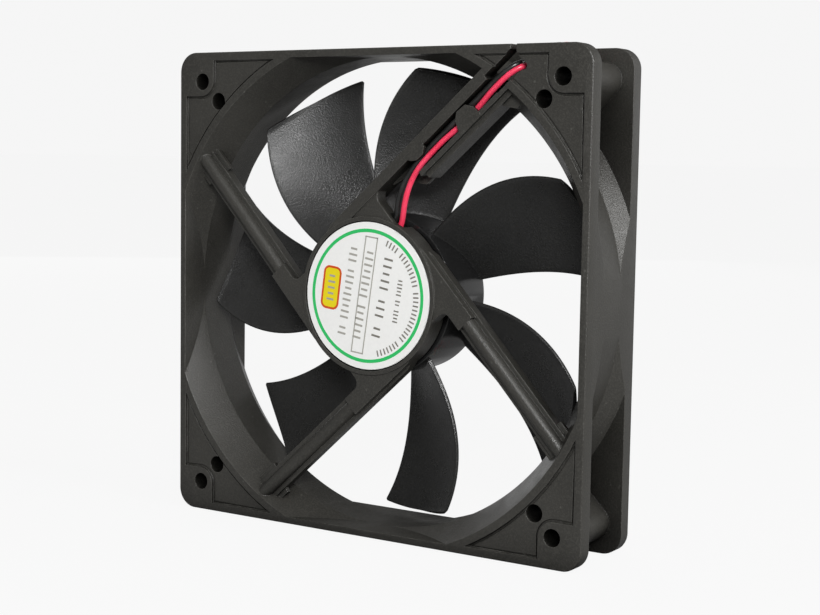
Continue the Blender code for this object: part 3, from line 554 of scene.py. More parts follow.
# Label, board and plug
LABEL_RADIUS = 18.1
LABEL_TOP = 12.4
LABEL_BOTTOM = 12.1
LABEL_EDGE = 0.08
MARK_SUNK = 0.02  # how deep the print goes into the paper
MARK_HEIGHT = 0.025
BOARD_LOW = 6.9
BOARD_GAP = 0.3  # between the board and what hangs under it
LEG_WIDTH = 0.42
LEG_HEIGHT = 0.25
PLUG_LENGTH = 9.8
PLUG_WIDTH = 7.4
PLUG_HEIGHT = 5.75
PLUG_ENTRY = 27.5
PLUG_MIDDLE = 34.75
PLUG_LOW = 0.1
PLUG_PITCH = 2.5  # between the two leads
PLUG_WELL = 1.9
TIE_ANGLE = 45.0  # of the cable tie round the coil
TIE_RADIUS = 8.2
TIE_HEIGHT = 2.74

# How finely circles are divided
ROUND = 240
FINE_ROUND = 192
HUB_ROUND = FINE_ROUND - 3  # 27 for each blade when fine
# Widths of the rounded edges
FRAME_ROUNDING = 0.22
BLADE_ROUNDING = 0.16

# Strengths of the studio's surroundings, as they are seen and as they light the fan
BACKDROP = 0.92
AMBIENT = 0.21
FLOOR_GLOW = 0.903
FLOOR_LIGHT = 0.25
FLOOR_HEIGHT = -0.2  # just under what stands on it


# ------------ mesh tools


def modify(piece, kind, **settings):
    step = piece.modifiers.new(kind, kind)
    for key, value in settings.items():
        setattr(step, key, value)


def combine(base, operation, *tools):
    for tool in tools:
        modify(base, "BOOLEAN", operation=operation, solver="EXACT", object=tool)


def join(base, *tools):
    combine(base, "UNION", *tools)


def cut(base, *tools):
    combine(base, "DIFFERENCE", *tools)


def arc(centre, radius, start, end, steps):
    """Points of an arc, with its angles in degrees."""
    points = []
    for i in range(steps + 1):
        angle = math.radians(start + (end - start) * i / steps)
        points.append((centre[0] + radius * math.cos(angle), centre[1] + radius * math.sin(angle)))
    return points


def rounded_rectangle(width, height, radius, steps):
    points = []
    for quarter, (side_x, side_y) in enumerate(((1, 1), (-1, 1), (-1, -1), (1, -1))):
        centre = (side_x * (width / 2 - radius), side_y * (height / 2 - radius))
        points += arc(centre, radius, 90 * quarter, 90 * quarter + 90, steps)
    return points


def turned_by(points, angle):
    """The points (x, y) turned about the fan's middle by an angle in degrees."""
    c, s = math.cos(math.radians(angle)), math.sin(math.radians(angle))
    return [(x * c - y * s, x * s + y * c) for x, y in points]


def plate(name, loops, low, high, rim=0.0):
    """A flat outline, with further loops as its holes, from z = low to z = high.

    With a rim, the edges of its two faces are rounded by that much."""
    lines = [[(x * MM, y * MM, 0) for x, y in loop] for loop in loops]
    curve = new_curve(name, "2D", lines, True)
    curve.fill_mode = "BOTH"
    curve.extrude = (high - low) / 2 * MM
    work = work_on(curve, 1e-7)
    bmesh.ops.translate(work, verts=work.verts, vec=(0, 0, (high + low) / 2 * MM))
    bmesh.ops.dissolve_limit(work, angle_limit=0.002, verts=work.verts, edges=work.edges)
    if rim:
        rims = [e for e in work.edges if len(e.link_faces) == 2 and e.calc_face_angle(0) > 1.3]
        rims = [e for e in rims if abs(e.verts[0].co.z - e.verts[1].co.z) < 1e-6]
        bmesh.ops.bevel(work, geom=rims, offset=rim * MM, segments=3, profile=0.5, affect="EDGES")
    return add_object(name, mesh_of(work, name))


def turned(name, profile, segments, closed=False):
    """A solid of revolution about z: the profile (radius, z) runs down its outer side."""
    mesh = bpy.data.meshes.new(name)
    edges = [(i, i + 1) for i in range(len(profile) - 1)]
    if closed:
        edges.append((len(profile) - 1, 0))
    mesh.from_pydata([(r * MM, 0, z * MM) for r, z in profile], edges, [])
    piece = add_object(name, mesh)
    modify(
        piece, "SCREW", steps=segments, render_steps=segments,
        use_merge_vertices=True, merge_threshold=1e-6,
    )
    return piece


def disc(name, radius, low, high, segments=FINE_ROUND):
    return turned(name, [(0, high), (radius, high), (radius, low), (0, low)], segments)


def blocks(name, boxes, rim=0.0):
    """Boxes (x, y, z, width, depth, height), each about its own middle, with rounded edges."""
    work = bmesh.new()
    for x, y, z, width, depth, height in boxes:
        place = Matrix.Translation((x * MM, y * MM, z * MM))
        size = Matrix.Diagonal((width * MM, depth * MM, height * MM, 1))
        bmesh.ops.create_cube(work, size=1.0, matrix=place @ size)
    if rim:
        edges = work.edges[:]
        bmesh.ops.bevel(work, geom=edges, offset=rim * MM, segments=3, profile=0.5, affect="EDGES")
    return add_object(name, mesh_of(work, name))


def rods(name, places, radius, low, high, segments):
    """Round rods along z at the given places."""
    work = bmesh.new()
    for x, y in places:
        middle = Matrix.Translation((x * MM, y * MM, (low + high) / 2 * MM))
        bmesh.ops.create_cone(
            work, cap_ends=True, segments=segments, radius1=radius * MM, radius2=radius * MM,
            depth=(high - low) * MM, matrix=middle,
        )
    return add_object(name, mesh_of(work, name))


def baked(piece, place, look, round_edges=0.0, sharp=32):
    """The piece as one plain mesh where it stands, with its modifiers applied and its tools gone."""
    if round_edges:
        modify(
            piece, "BEVEL", width=round_edges * MM, segments=2, limit_method="ANGLE",
            angle_limit=math.radians(34), miter_outer="MITER_ARC", use_clamp_overlap=True,
        )
    graph = bpy.context.evaluated_depsgraph_get()
    mesh = bpy.data.meshes.new_from_object(piece.evaluated_get(graph))
    mesh.transform(place)
    name = piece.name
    tools = [piece]
    for tool in tools:  # the list grows as it is read, by each tool's own tools
        tools += [step.object for step in tool.modifiers if getattr(step, "object", None)]
    for tool in dict.fromkeys(tools):
        bpy.data.objects.remove(tool)
    mesh.name = name
    mesh.materials.clear()
    mesh.materials.append(look)
    mesh.shade_smooth()
    mesh.set_sharp_from_angle(angle=math.radians(sharp))
    return add_object(name, mesh)


def tell(piece, body, slot, *nodes):
    """Which body the piece moves with, and the plain nodes it replaces, which are hidden. The slot
    is not used.
    """
    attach(piece, body)
    if nodes:
        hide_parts(*nodes)


# ------------ frame


def throat(name, extra):
    """The air passage as a tool, with its walls moved out by extra: turned, and cut square
    where the frame's sides are thin."""
    past = 1.5  # how far it runs past each face
    flare_up = (EXHAUST_RADIUS - THROAT_RADIUS) / (FACE - THROAT_TOP)
    flare_down = (INTAKE_RADIUS - THROAT_RADIUS) / (FACE + THROAT_BOTTOM)
    top, bottom = FACE + past, -FACE - past
    profile = [(0, top), (EXHAUST_RADIUS + flare_up * past + extra, top)]
    profile += [(THROAT_RADIUS + extra, THROAT_TOP), (THROAT_RADIUS + extra, THROAT_BOTTOM)]
    profile += [(INTAKE_RADIUS + flare_down * past + extra, bottom), (0, bottom)]
    tool = turned(name, profile, ROUND)
    width = 2 * (OPENING_HALF + extra)
    combine(tool, "INTERSECT", blocks(name + "_square", [(0, 0, 0, width, width, 4 * FACE)]))
    return tool


def flange_gap():
    """The space round the ring, between the two flanges."""
    reach = 2 * HALF
    profile = [(reach, GAP_FACE), (reach, -GAP_FACE), (RING_CONE_RADIUS, -GAP_FACE)]
    profile += [(RING_RADIUS, -RING_EDGE), (RING_RADIUS, RING_EDGE), (RING_CONE_RADIUS, GAP_FACE)]
    return turned("flange_gap", profile, ROUND, True)


def boss(quarter):
    """The oblong post round one pair of screw holes, from flange to flange."""
    inner, outer = HOLE_INNER * math.sqrt(2), HOLE_OUTER * math.sqrt(2)
    outline = arc((inner, 0), BOSS_RADIUS, 90, 270, 24) + arc((outer, 0), BOSS_RADIUS, -90, 90, 24)
    outline = turned_by(outline, 45 + 90 * quarter)
    return plate(f"boss_{quarter + 1}", [outline], -GAP_FACE - 0.3, GAP_FACE + 0.3)


def recess_outline(inset):
    """Outline of a shallow corner recess, which keeps a rim round the opening and a pad at the
    screw holes, with its edges moved in by inset."""
    edge, pad, radius = RECESS_EDGE - inset, PAD_EDGE - inset, RECESS_RADIUS + inset
    start = math.degrees(math.acos(edge / radius))
    centre = (PAD_EDGE + PAD_FILLET, PAD_EDGE + PAD_FILLET)
    outline = arc((0, 0), radius, 90 - start, start, 40) + [(edge, pad)]
    return outline + arc(centre, PAD_FILLET + inset, 270, 180, 10) + [(pad, edge)]


def recess(quarter):
    outline = turned_by(recess_outline(0), 90 * quarter)
    return plate(f"recess_{quarter + 1}", [outline], FACE - RECESS_DEPTH, FACE + 1)


def recess_groove(quarter):
    """The half-round groove that runs along the recess's edge."""
    points = turned_by(recess_outline(GROOVE_INSET), 90 * quarter)
    points = [(x * MM, y * MM, (FACE - RECESS_DEPTH + GROOVE_RISE) * MM) for x, y in points]
    return tube(f"recess_groove_{quarter + 1}", points, GROOVE_RADIUS * MM, True, 1)


def web_outline(outer, inner, end, fillet):
    """The flat web between the motor base and a strut, in the strut's frame (along, across).

    The strut's outer edge is a tangent of the base, and the far side of the web is cut
    straight across at end, with a fillet to the strut and one to the base's circle."""
    middle = end + fillet
    reach = BASE_RADIUS + fillet
    touch = math.sqrt(reach**2 - middle**2)
    toward_base = math.degrees(math.atan2(-touch, -middle))
    outline = [(0, 5), (end - 0.5, 5)]
    outline += arc((middle, touch), fillet, 360 + toward_base, 180, 12)
    outline += arc((middle, inner - fillet), fillet, 180, 90, 12)
    outline += [(middle + 4, inner), (middle + 4, outer), (2, outer), (-4, BASE_RADIUS - 0.9)]
    return outline


def strut(number, angle):
    """A half-round rib on a wider bar, with the web at its foot and lugs at the ring."""
    name = f"strut_{number}"
    inner, outer = STRUT_SIDES
    flat = [(-4, BASE_RADIUS - 1.4), (4, outer), (STRUT_END, outer), (STRUT_END, inner), (8, inner)]
    body = plate(name, [turned_by(flat, angle)], STRUT_LOW, STRUT_HIGH)
    near, far = WEB_SIDES
    web = web_outline(far, near, WEB_END, WEB_FILLET)
    join(body, plate(name + "_web", [turned_by(web, angle)], WEB_LOW, WEB_HIGH))
    near, far = LUG_SIDES
    end = STRUT_END - 1
    lug = [(LUG_START, near), (end, near), (end, far), (LUG_START + 1.5, far)]
    join(body, plate(name + "_lug", [turned_by(lug, angle)], WEB_LOW, STRUT_HIGH - 0.6))
    join(body, rib(name + "_rib", angle, RIB_STARTS[number - 1]))
    return body


def rib(name, angle, start):
    """The round bar along a strut's middle, with a round nose."""
    length = STRUT_END + 1 - start
    nose = [(y, x) for x, y in arc((-RIB_RADIUS, 0), RIB_RADIUS, 0, 90, 8)]
    profile = [*nose, (RIB_RADIUS, -length), (0, -length)]
    rod = turned(name, profile, 48)
    x, y = turned_by([(start, STRUT_OFFSET)], angle)[0]
    rod.location = (x * MM, y * MM, RIB_CENTRE * MM)
    rod.rotation_euler = (0, math.radians(-90), math.radians(angle))
    return rod


def channel():
    """The strut that carries the leads: a floor, two rails and the tabs that keep the leads in."""

    def part(name, outline, low, high):
        return plate(name, [turned_by(outline, CHANNEL_ANGLE)], low, high)

    def rail(name, start, end, across, low, high):
        near, far = across
        outline = [(start, near), (end, near), (end, far), (start, far)]
        return part(name, outline, low, high)

    near, far = RIGHT_LEDGE[0] + 0.3, LEFT_RAIL[1] - 0.3
    foot = FLOOR_START - 6
    floor = [(FLOOR_START + 1.5, near), (CHANNEL_END, near), (CHANNEL_END, far), (foot, far)]
    floor += [(foot, LEFT_RAIL[0] - 0.3), (FLOOR_START - 1, LEFT_RAIL[0] - 1.5)]
    floor += [(FLOOR_START, near + 1.5)]
    body = part("channel", floor, CHANNEL_FLOOR_LOW, CHANNEL_FLOOR_HIGH)
    end = CHANNEL_END + 1
    left = [(-5, BASE_RADIUS - 1.2), (3, LEFT_RAIL[1]), (end, LEFT_RAIL[1])]
    left += [(end, LEFT_RAIL[0]), (8, LEFT_RAIL[0])]
    low, end = CHANNEL_WALL_LOW, CHANNEL_END
    join(body, part("left_rail", left, low, CHANNEL_TOP))
    start = RIGHT_RAIL_START
    join(body, rail("right_rail", start, end + 0.5, RIGHT_RAIL, low + 0.4, CHANNEL_TOP - 0.02))
    join(body, rail("right_ledge", start + 0.8, end - 0.5, RIGHT_LEDGE, low + 0.2, RIGHT_LEDGE_TOP))
    join(body, part("channel_fin", FIN, WEB_LOW, STRUT_HIGH))
    web = web_outline(LEFT_RAIL[1] - 0.2, LEFT_RAIL[0] + 0.2, CHANNEL_WEB_END, CHANNEL_FILLET)
    join(body, part("channel_web", web, WEB_LOW, WEB_HIGH))
    right_tab = [(45.4, 12.4), (52.6, 12.4), (52.2, 15.0), (50.9, 16.8), (48.0, 17.0), (46.4, 15.6)]
    left_tab = [(29.8, 18.6), (31.0, 16.6), (32.4, 15.7), (34.6, 15.7), (36.0, 16.8), (36.4, 18.6)]
    for name, tab in (("right_tab", right_tab), ("left_tab", left_tab)):
        join(body, part(name, tab, TAB_LOW, CHANNEL_TOP + 0.05))
    return body


def notch():
    """The cut where the leads leave the channel through the exhaust flange."""
    near = RIGHT_RAIL[1] - 0.2
    outline = [(59.0, near), (66.6, near), (67.8, 12.4), (68.5, 12.6), (68.9, 13.1)]
    outline += [(68.5, 15.7), (69.2, 17.6), (67.9, NOTCH_SIDE), (59.0, NOTCH_SIDE)]
    return plate("notch", [turned_by(outline, CHANNEL_ANGLE)], GAP_FACE - 0.3, FACE + 1)


def slit():
    """The narrow way from the notch to the frame's top edge."""
    outline = [(38.9, 56.9), (40.4, 56.9), (40.4, HALF + 1), (38.9, HALF + 1)]
    return plate("slit", [outline], GAP_FACE - 0.7, FACE + 1.5)


def spider():
    """The motor base with its struts, shaped at their ends to sink into the ring."""
    body = disc("motor_base", BASE_RADIUS, BASE_OPEN_END, FACE)
    for number, angle in enumerate(STRUT_ANGLES, 1):
        join(body, strut(number, angle))
    join(body, channel())
    low = BASE_OPEN_END - 1
    cut(body, disc("base_inside", BASE_INNER_RADIUS, low, BASE_FLOOR_BOTTOM))
    cut(body, disc("label_recess", LABEL_RECESS_RADIUS, BASE_FLOOR_TOP, FACE + 1))
    cut(body, disc("tube_hole", TUBE_HOLE_RADIUS, BASE_OPEN_END, FACE, 64))
    side = LEAD_SLOT_WIDTH / 2
    slot = turned_by([(12, -side), (21, -side), (21, side), (12, side)], LEAD_SLOT_ANGLE)
    cut(body, plate("lead_slot", [slot], low, BASE_FLOOR_BOTTOM + 0.4))
    combine(body, "INTERSECT", throat("spider_reach", 0.6))
    return body


def make_frame(look):
    outline = rounded_rectangle(2 * HALF, 2 * HALF, CORNER_RADIUS, 20)
    shell = plate("frame_shell", [outline], -FACE, FACE, OUTER_EDGE)
    cut(shell, flange_gap(), throat("air_passage", 0))
    for quarter in range(4):
        join(shell, boss(quarter))
        cut(shell, recess(quarter), recess_groove(quarter))
    join(shell, spider())
    cut(shell, notch(), slit())
    places = []
    for at in (HOLE_INNER, HOLE_OUTER):
        places += [(at, at), (-at, at), (-at, -at), (at, -at)]
    cut(shell, rods("screw_holes", places, HOLE_RADIUS, -FACE - 1, FACE + 1, 64))
    return baked(shell, FAN_MATRIX, look, FRAME_ROUNDING, 25)


# ------------ impeller


def edge_angle(terms, span):
    """Angle of a blade's edge at a span of 0 at the hub to 1 at the tip."""
    return sum(term * span**power for power, term in enumerate(terms))


def blade_point(across, along):
    """A point of the blade's middle surface: across runs from root to tip, along from intake
    to exhaust edge, both 0 to 1."""
    radius = BLADE_ROOT + across * (TIP_RADIUS - BLADE_ROOT)
    span = (radius - HUB_RADIUS) / (TIP_RADIUS - HUB_RADIUS)
    leading = edge_angle(LEADING_EDGE, span) + corner(radius, LEADING_CORNER)
    trailing = edge_angle(TRAILING_EDGE, span) - corner(radius, TRAILING_CORNER)
    angle = math.radians(leading + along * (trailing - leading))
    camber = 0.6 + 0.15 * span
    depth = BLADE_INTAKE + BLADE_CHORD_DEPTH * ((1 - camber) * along + camber * along**2)
    return Vector((radius * math.cos(angle), radius * math.sin(angle), depth))


def corner(radius, rounding):
    """How many degrees a rounded tip corner takes off the blade's edge at this radius."""
    past = max(0.0, radius - (TIP_RADIUS - rounding))
    lost = rounding - math.sqrt(max(0.0, rounding**2 - past**2))
    return math.degrees(lost / radius)


def blade_mesh(steps_across, steps_along):
    """The blade's middle surface, with its thickness as a weight on each point."""
    work = bmesh.new()
    bmesh.ops.create_grid(work, x_segments=steps_across, y_segments=steps_along, size=0.5)
    weights = work.verts.layers.deform.verify()
    for vert in work.verts:
        across = 1 - (0.5 - vert.co.x) ** 1.35  # closer rows near the tip
        along = vert.co.y + 0.5
        bulge = math.sin(math.pi * along) ** 0.6
        vert[weights][0] = (0.42 + 0.58 * bulge) * (1.0 - 0.42 * across)
        vert.co = blade_point(across, along) * MM
    bmesh.ops.reverse_faces(work, faces=work.faces)
    return mesh_of(work, "blade")


def make_impeller(look, hub_look):
    edge = (HUB_RADIUS - HUB_EDGE_RADIUS, HUB_CLOSED_END + HUB_EDGE_RADIUS)
    profile = [(0, SHAFT_HOLE_END), (SHAFT_HOLE_RADIUS, SHAFT_HOLE_END)]
    profile += [(SHAFT_HOLE_RADIUS, HUB_POST_END), (HUB_POST_RADIUS, HUB_POST_END)]
    profile += [(HUB_POST_RADIUS, HUB_FLOOR), (HUB_INNER_RADIUS, HUB_FLOOR)]
    profile += [(HUB_INNER_RADIUS, HUB_OPEN_END), (HUB_RADIUS, HUB_OPEN_END)]
    profile += arc(edge, HUB_EDGE_RADIUS, 0, -90, 12) + [(0, HUB_CLOSED_END)]
    fan = turned("impeller_shell", profile, HUB_ROUND)
    mesh = blade_mesh(26, 30)
    for number in range(BLADES):
        blade = add_object(f"blade_{number + 1}", mesh)
        blade.rotation_euler.z = math.radians(360 / BLADES * number)
        blade.vertex_groups.new(name="thickness")
        thick = BLADE_THICKNESS * MM
        modify(blade, "SOLIDIFY", thickness=thick, offset=0, vertex_group="thickness")
        join(fan, blade)
    fan = baked(fan, FAN_MATRIX, look, BLADE_ROUNDING)
    fan.data.materials.append(hub_look)
    limit = (HUB_RADIUS + 0.02) * MM
    for face in fan.data.polygons:
        at = [fan.data.vertices[v].co for v in face.vertices]
        if all(math.hypot(p.x, p.z - HALF * MM) < limit for p in at):
            face.material_index = 1
    return fan


# ------------ label


def print_mark(name, loops, look, height=MARK_HEIGHT):
    """A flat piece of print that stands height over the paper."""
    mark = plate(name, loops, LABEL_TOP - MARK_SUNK, LABEL_TOP + height)
    tell(baked(mark, FAN_MATRIX, look), "fan_frame", "label_print")


def badge_outline(length, width, radius):
    """A round-cornered patch on the label's left half, in line with the rows of ticks."""
    outline = turned_by(rounded_rectangle(length, width, radius, 8), 83)
    return [(x - 10.7, y + 1.5) for x, y in outline]


def bar(start, end, width):
    """A straight bar from start to end, whose ends run half its width past both."""
    run = (Vector(end) - Vector(start)).normalized() * width / 2
    side = Vector((-run.y, run.x))
    start, end = Vector(start) - run, Vector(end) + run
    return [tuple(p) for p in (start + side, start - side, end - side, end + side)]


def tick_places(counts):
    """Fractions along a row of ticks, which stand in groups with a wider gap after each."""
    places, at = [], 0.0
    for count in counts:
        places += [at + step for step in range(count)]
        at += count + 0.8
    return [place / places[-1] for place in places]


def tick_row(start, end, height, counts):
    """Short ticks across a straight row, in place of a line of print."""
    start, end = Vector(start), Vector(end)
    along = (end - start).normalized()
    across = Vector((-along.y, along.x)) * height / 2
    ticks = []
    for number, place in enumerate(tick_places(counts)):
        middle = start.lerp(end, place)
        half = across * (0.72 if number % 3 == 1 else 1.0)  # one tick in three is shorter
        ticks.append(bar(middle - half, middle + half, 0.5 if height > 1.5 else 0.34))
    return ticks


def tick_arc(radius, first, last, height, counts):
    """Short ticks across a circle round the label, with the angles in degrees."""
    ticks = []
    for place in tick_places(counts):
        angle = math.radians(first + (last - first) * place)
        out = Vector((math.cos(angle), math.sin(angle)))
        ticks.append(bar(out * (radius - height / 2), out * (radius + height / 2), 0.36))
    return ticks


def make_label():
    rim = LABEL_RADIUS - LABEL_EDGE
    profile = [(0, LABEL_TOP), (rim, LABEL_TOP), (LABEL_RADIUS, LABEL_TOP - LABEL_EDGE)]
    profile += [(LABEL_RADIUS, LABEL_BOTTOM), (0, LABEL_BOTTOM)]
    paper = baked(turned("label_disc", profile, FINE_ROUND), FAN_MATRIX, PAPER_LOOK)
    tell(paper, "fan_frame", "label_print", "label")
    circles = [arc((0, 0), radius, 0, 357.5, 143) for radius in (16.45, 15.6)]
    print_mark("label_ring", circles, GREEN_LOOK)
    edge = [badge_outline(10.8, 5.4, 1.7), badge_outline(9.7, 4.3, 1.15)]
    print_mark("label_badge_edge", edge, ORANGE_LOOK)
    print_mark("label_badge", [badge_outline(9.9, 4.5, 1.25)], YELLOW_LOOK, 0.015)
    ticks = tick_row((-11.05, -1.4), (-10.35, 4.4), 1.6, (5,))
    print_mark("label_badge_ticks", ticks, PALE_INK_LOOK, 0.03)
    corners = [(-0.4, 14.6), (3.0, 14.2), (-1.05, -14.3), (-4.4, -13.9)]
    for number, (a, b) in enumerate(zip(corners, corners[1:] + corners[:1]), 1):
        print_mark(f"label_box_line_{number}", [bar(a, b, 0.32)], PALE_INK_LOOK)
    rows = (
        (tick_row((-7.4, -9.6), (-3.9, 11.4), 1.9, (2, 9, 3)), PALE_INK_LOOK),
        (tick_row((-2.9, -10.3), (0.9, 10.6), 1.9, (6, 8)), PALE_INK_LOOK),
        (tick_row((2.8, -9.6), (6.3, 9.2), 2.0, (2, 3, 5)), INK_LOOK),
        (tick_row((8.3, -5.8), (9.8, 4.2), 1.1, (4, 2, 5)), INK_LOOK),
        (tick_arc(14.3, 66, -76, 1.15, (4, 9, 13, 7)), INK_LOOK),
    )
    for number, (row, ink) in enumerate(rows, 1):
        print_mark(f"label_ticks_{number}", row, ink)


# ------------ small pieces


def dress(look, *nodes):
    """The look on nodes that stay as they are packed."""
    for node in nodes:
        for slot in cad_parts[node].material_slots:
            slot.material = look


def make_plug(shell_look, contact_look):
    """The socket housing with rounded edges, latch windows and ribs, and its crimped contacts."""
    x, y, z = PLUG_ENTRY - PLUG_LENGTH / 2, PLUG_MIDDLE, PLUG_LOW + PLUG_HEIGHT / 2
    shell = blocks("socket_housing", [(x, y, z, PLUG_LENGTH, PLUG_WIDTH, PLUG_HEIGHT)], 0.35)
    wells, windows, grooves = [], [], []
    for side in (-0.5, 0.5):
        at = y + side * PLUG_PITCH
        wells.append((x, at, z, PLUG_LENGTH + 2, PLUG_WELL, PLUG_WELL))
        windows.append((x - 0.6, at, z + PLUG_HEIGHT / 2, 2.6, 1.1, 2.4))
        for step in range(4):
            grooves.append((x + 1.2 + 0.9 * step, y + side * PLUG_WIDTH, z, 0.45, 0.5, 3.4))
    cut(shell, blocks("plug_wells", wells), blocks("plug_windows", windows, 0.1))
    cut(shell, blocks("plug_grooves", grooves))
    housing = baked(shell, Matrix.Identity(4), shell_look, 0.08)
    tell(housing, "fan_frame", "white_plastic", "plug_housing")
    contacts = []
    for side, colour in ((-0.5, "black"), (0.5, "red")):
        place = Matrix.Translation((x * MM, (y + side * PLUG_PITCH) * MM, z * MM))
        place @= turn(90, "Y")
        # a box for the pin, a barrel crimped on the lead and the strip between them
        box = [rounded_rectangle(1.3, 1.3, 0.2, 3), rounded_rectangle(0.9, 0.9, 0.1, 2)]
        sleeve = plate("contact_" + colour, box, -3.2, 0.6)
        barrel = [rounded_rectangle(1.24, 1.24, 0.5, 5), rounded_rectangle(0.94, 0.94, 0.35, 5)]
        join(sleeve, plate("barrel_" + colour, barrel, 1.7, 3.9))
        join(sleeve, blocks("strip_" + colour, [(-0.5, 0, 1.2, 0.2, 0.9, 2.2)]))
        contact = baked(sleeve, place, contact_look, 0.04)
        tell(contact, "fan_frame", "tin", "plug_contact_" + colour)
        contacts.append(contact)
    return housing, contacts


def make_tie(look):
    """A narrow cable tie pulled tight round the turns, with its head on top and its cut tail."""
    wide, tall, band = 3.3, 4.7, 0.3
    outside = rounded_rectangle(wide + 2 * band, tall + 2 * band, 0.9, 6)
    strap = plate("cable_tie", [outside, rounded_rectangle(wide, tall, 0.7, 6)], -0.9, 0.9)
    join(strap, blocks("tie_head", [(0.1, tall / 2 + 0.75, 0, 2.4, 1.3, 2.6)], 0.25))
    join(strap, blocks("tie_tail", [(1.6, tall / 2 + 0.8, 0, 1.6, 0.3, 1.5)], 0.08))
    place = Matrix.Translation((*COIL_CENTRE, TIE_HEIGHT * MM)) @ turn(TIE_ANGLE, "Z")
    place @= Matrix.Translation((TIE_RADIUS * MM, 0, 0)) @ turn(90, "X")
    tie = baked(strap, place, look, 0.06)
    tell(tie, "fan_frame", "tie_plastic", "coil_tie")
    return tie


def make_chip(name, node, angle, spot, size, legs, looks, slot):
    """A moulded or ceramic body with its metal legs or end caps, hanging under the board."""
    x, y = spot
    wide, deep, tall = size
    top = BOARD_LOW - BOARD_GAP
    place = FAN_MATRIX @ turn(angle, "Z")
    body = blocks(name, [(x, y, top - tall / 2, wide, deep - 1.0, tall)], 0.12)
    width, height = (LEG_WIDTH, LEG_HEIGHT) if legs > 1 else (wide, tall)
    caps = []
    for side in (-1, 1):
        for leg in range(legs):
            across = x + (leg - (legs - 1) / 2) * wide / legs
            out = y + side * (deep / 2 - 0.28)
            caps.append((across, out, top - height / 2, width, 0.54, height))
    caps = blocks(name + "_legs", caps, 0.06)
    tell(baked(body, place, looks[0]), "fan_frame", slot, node)
    tell(baked(caps, place, looks[1]), "fan_frame", slot)


def dress_motor(tin):
    steel = metal("steel", (0.55, 0.56, 0.58), 0.26, (1, 0.05, 1))
    nylon = plain_plastic("nylon", (0.62, 0.60, 0.52), 0.42, translucent=0.2)
    rubber = plain_plastic("rubber", (0.015, 0.015, 0.015), 0.65)
    dress(metal("brass", (0.62, 0.42, 0.16), 0.32, (1, 0.05, 1)), "bearing_tube")
    dress(metal("sintered_bronze", (0.42, 0.27, 0.13), 0.55, (1, 1, 1), 0.7), "sleeve_bearing")
    dress(metal("plated_steel", (0.50, 0.51, 0.53), 0.34, (1, 0.2, 1)), "rotor_yoke")
    dress(metal("stator_iron", (0.30, 0.30, 0.31), 0.45, (0.1, 9, 0.1)), "stator_core")
    dress(plain_plastic("ferrite", (0.035, 0.033, 0.032), 0.7), "ring_magnet")
    dress(plain_plastic("circuit_board", (0.03, 0.16, 0.06), 0.35, 0.05), "circuit_board")
    dress(steel, "shaft", "shaft_clip")
    dress(nylon, "bobbin_upper", "bobbin_lower", "thrust_washer")
    dress(rubber, "bearing_cap", "oil_ring")
    dress(winding_copper("copper_wire"), *[f"winding_{n}" for n in range(1, 5)])
    dress(tin, *[f"winding_pin_{n}" for n in range(1, 5)])
    mould = (plain_plastic("chip_mould", (0.02, 0.02, 0.022), 0.5), tin)
    ceramic = (plain_plastic("ceramic", (0.36, 0.23, 0.12), 0.38), tin)
    small = (1.2, 2.0, 0.5)
    make_chip("sensor_body", "hall_sensor", 45, (13.6, 0), (3.0, 4.0, 0.9), 2, mould, "chip")
    make_chip("driver_body", "driver_chip", 135, (10.8, 0), (4.0, 5.0, 0.9), 4, mould, "chip")
    make_chip("capacitor_body", "capacitor", 225, (11.0, 0), (1.6, 3.2, 0.9), 1, ceramic, "ceramic")
    make_chip("resistor_body_1", "resistor_1", 315, (10.4, 1.6), small, 1, mould, "ceramic")
    make_chip("resistor_body_2", "resistor_2", 315, (10.4, -1.6), small, 1, mould, "ceramic")


# ------------ studio


def seen_or_lit(tree, seen, lit):
    """A strength that is one value where it is seen and another where it lights the object."""
    ray = tree.nodes.new("ShaderNodeLightPath")
    switch = tree.nodes.new("ShaderNodeMapRange")
    tree.links.new(ray.outputs["Is Camera Ray"], switch.inputs["Value"])
    switch.inputs["To Min"].default_value = lit
    switch.inputs["To Max"].default_value = seen
    return switch.outputs["Result"]


def add_floor():
    look = Nodes("studio_floor")
    cloud = look.noise(3, 2, 0.5)
    look.set("Base Color", look.mix(cloud, (0.045, 0.045, 0.045), (0.055, 0.055, 0.055)))
    look.set("Roughness", 0.8)
    look.set("Specular IOR Level", 0.0)
    look.set("Emission Color", (1.0, 1.0, 1.0, 1.0))
    look.set("Emission Strength", seen_or_lit(look.tree, FLOOR_GLOW, FLOOR_LIGHT))
    bpy.ops.mesh.primitive_plane_add(size=60, location=(0, 0, FLOOR_HEIGHT * MM))
    floor = bpy.context.object
    floor.name = "floor"
    floor.data.materials.append(look.material)


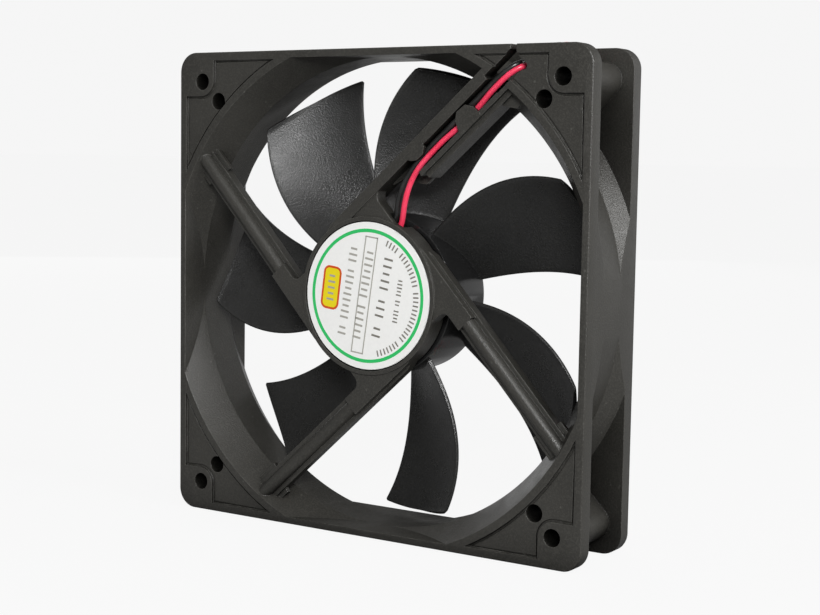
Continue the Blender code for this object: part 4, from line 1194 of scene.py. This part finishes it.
def direction(azimuth, elevation):
    """The way out from the fan, with its angles in degrees: azimuth 0 is in front, 90 right."""
    azimuth, elevation = math.radians(azimuth), math.radians(elevation)
    level = math.cos(elevation)
    return Vector((math.sin(azimuth) * level, -math.cos(azimuth) * level, math.sin(elevation)))


def add_light(name, azimuth, elevation, distance, size, energy):
    """A soft light aimed at the fan's middle from that direction."""
    out = direction(azimuth, elevation)
    data = bpy.data.lights.new(name, "AREA")
    data.shape = "RECTANGLE"
    data.size, data.size_y = size
    data.energy = energy
    light = add_object(name, data)
    light.location = Vector((0, 0, HALF * MM)) + out * distance
    light.rotation_euler = out.to_track_quat("Z", "Y").to_euler()


def add_studio():
    add_floor()
    add_light("key", 36, 21, 1.0, (0.28, 0.28), 8.0)
    add_light("side", 86, 22, 0.9, (0.3, 0.4), 3.8)
    add_light("behind", 152, 4, 1.0, (0.9, 0.8), 0.85)
    add_light("above", 58, 50, 1.0, (0.2, 0.2), 0.45)
    add_light("rear", 222, 14, 1.0, (0.9, 0.9), 2.0)
    world = bpy.data.worlds.new("studio")
    bpy.context.scene.world = world
    world.use_nodes = True
    background = world.node_tree.nodes["Background"]
    background.inputs["Color"].default_value = (1.0, 1.0, 1.0, 1.0)
    strength = seen_or_lit(world.node_tree, BACKDROP, AMBIENT)
    world.node_tree.links.new(strength, background.inputs["Strength"])
    bpy.context.scene.view_settings.view_transform = "Standard"


# ------------ the fan


def main():
    tin = metal("tinned_metal", (0.66, 0.66, 0.62), 0.3)
    housing_look = plain_plastic("white_plastic", (0.74, 0.73, 0.68), 0.38, translucent=0.15)
    tie_look = plain_plastic("tie_plastic", (0.70, 0.70, 0.66), 0.35, translucent=0.25)
    tell(make_frame(FRAME_LOOK), "fan_frame", "frame_plastic", "frame")
    tell(make_impeller(BLADE_LOOK, HUB_LOOK), "rotor", "impeller_plastic", "impeller")
    make_label()
    dress_motor(tin)
    RED_LEAD.data.materials.append(RED_LOOK)
    BLACK_LEAD.data.materials.append(BLACK_LOOK)
    housing, contacts = make_plug(housing_look, tin)
    tie = make_tie(tie_look)
    add_studio()


main()
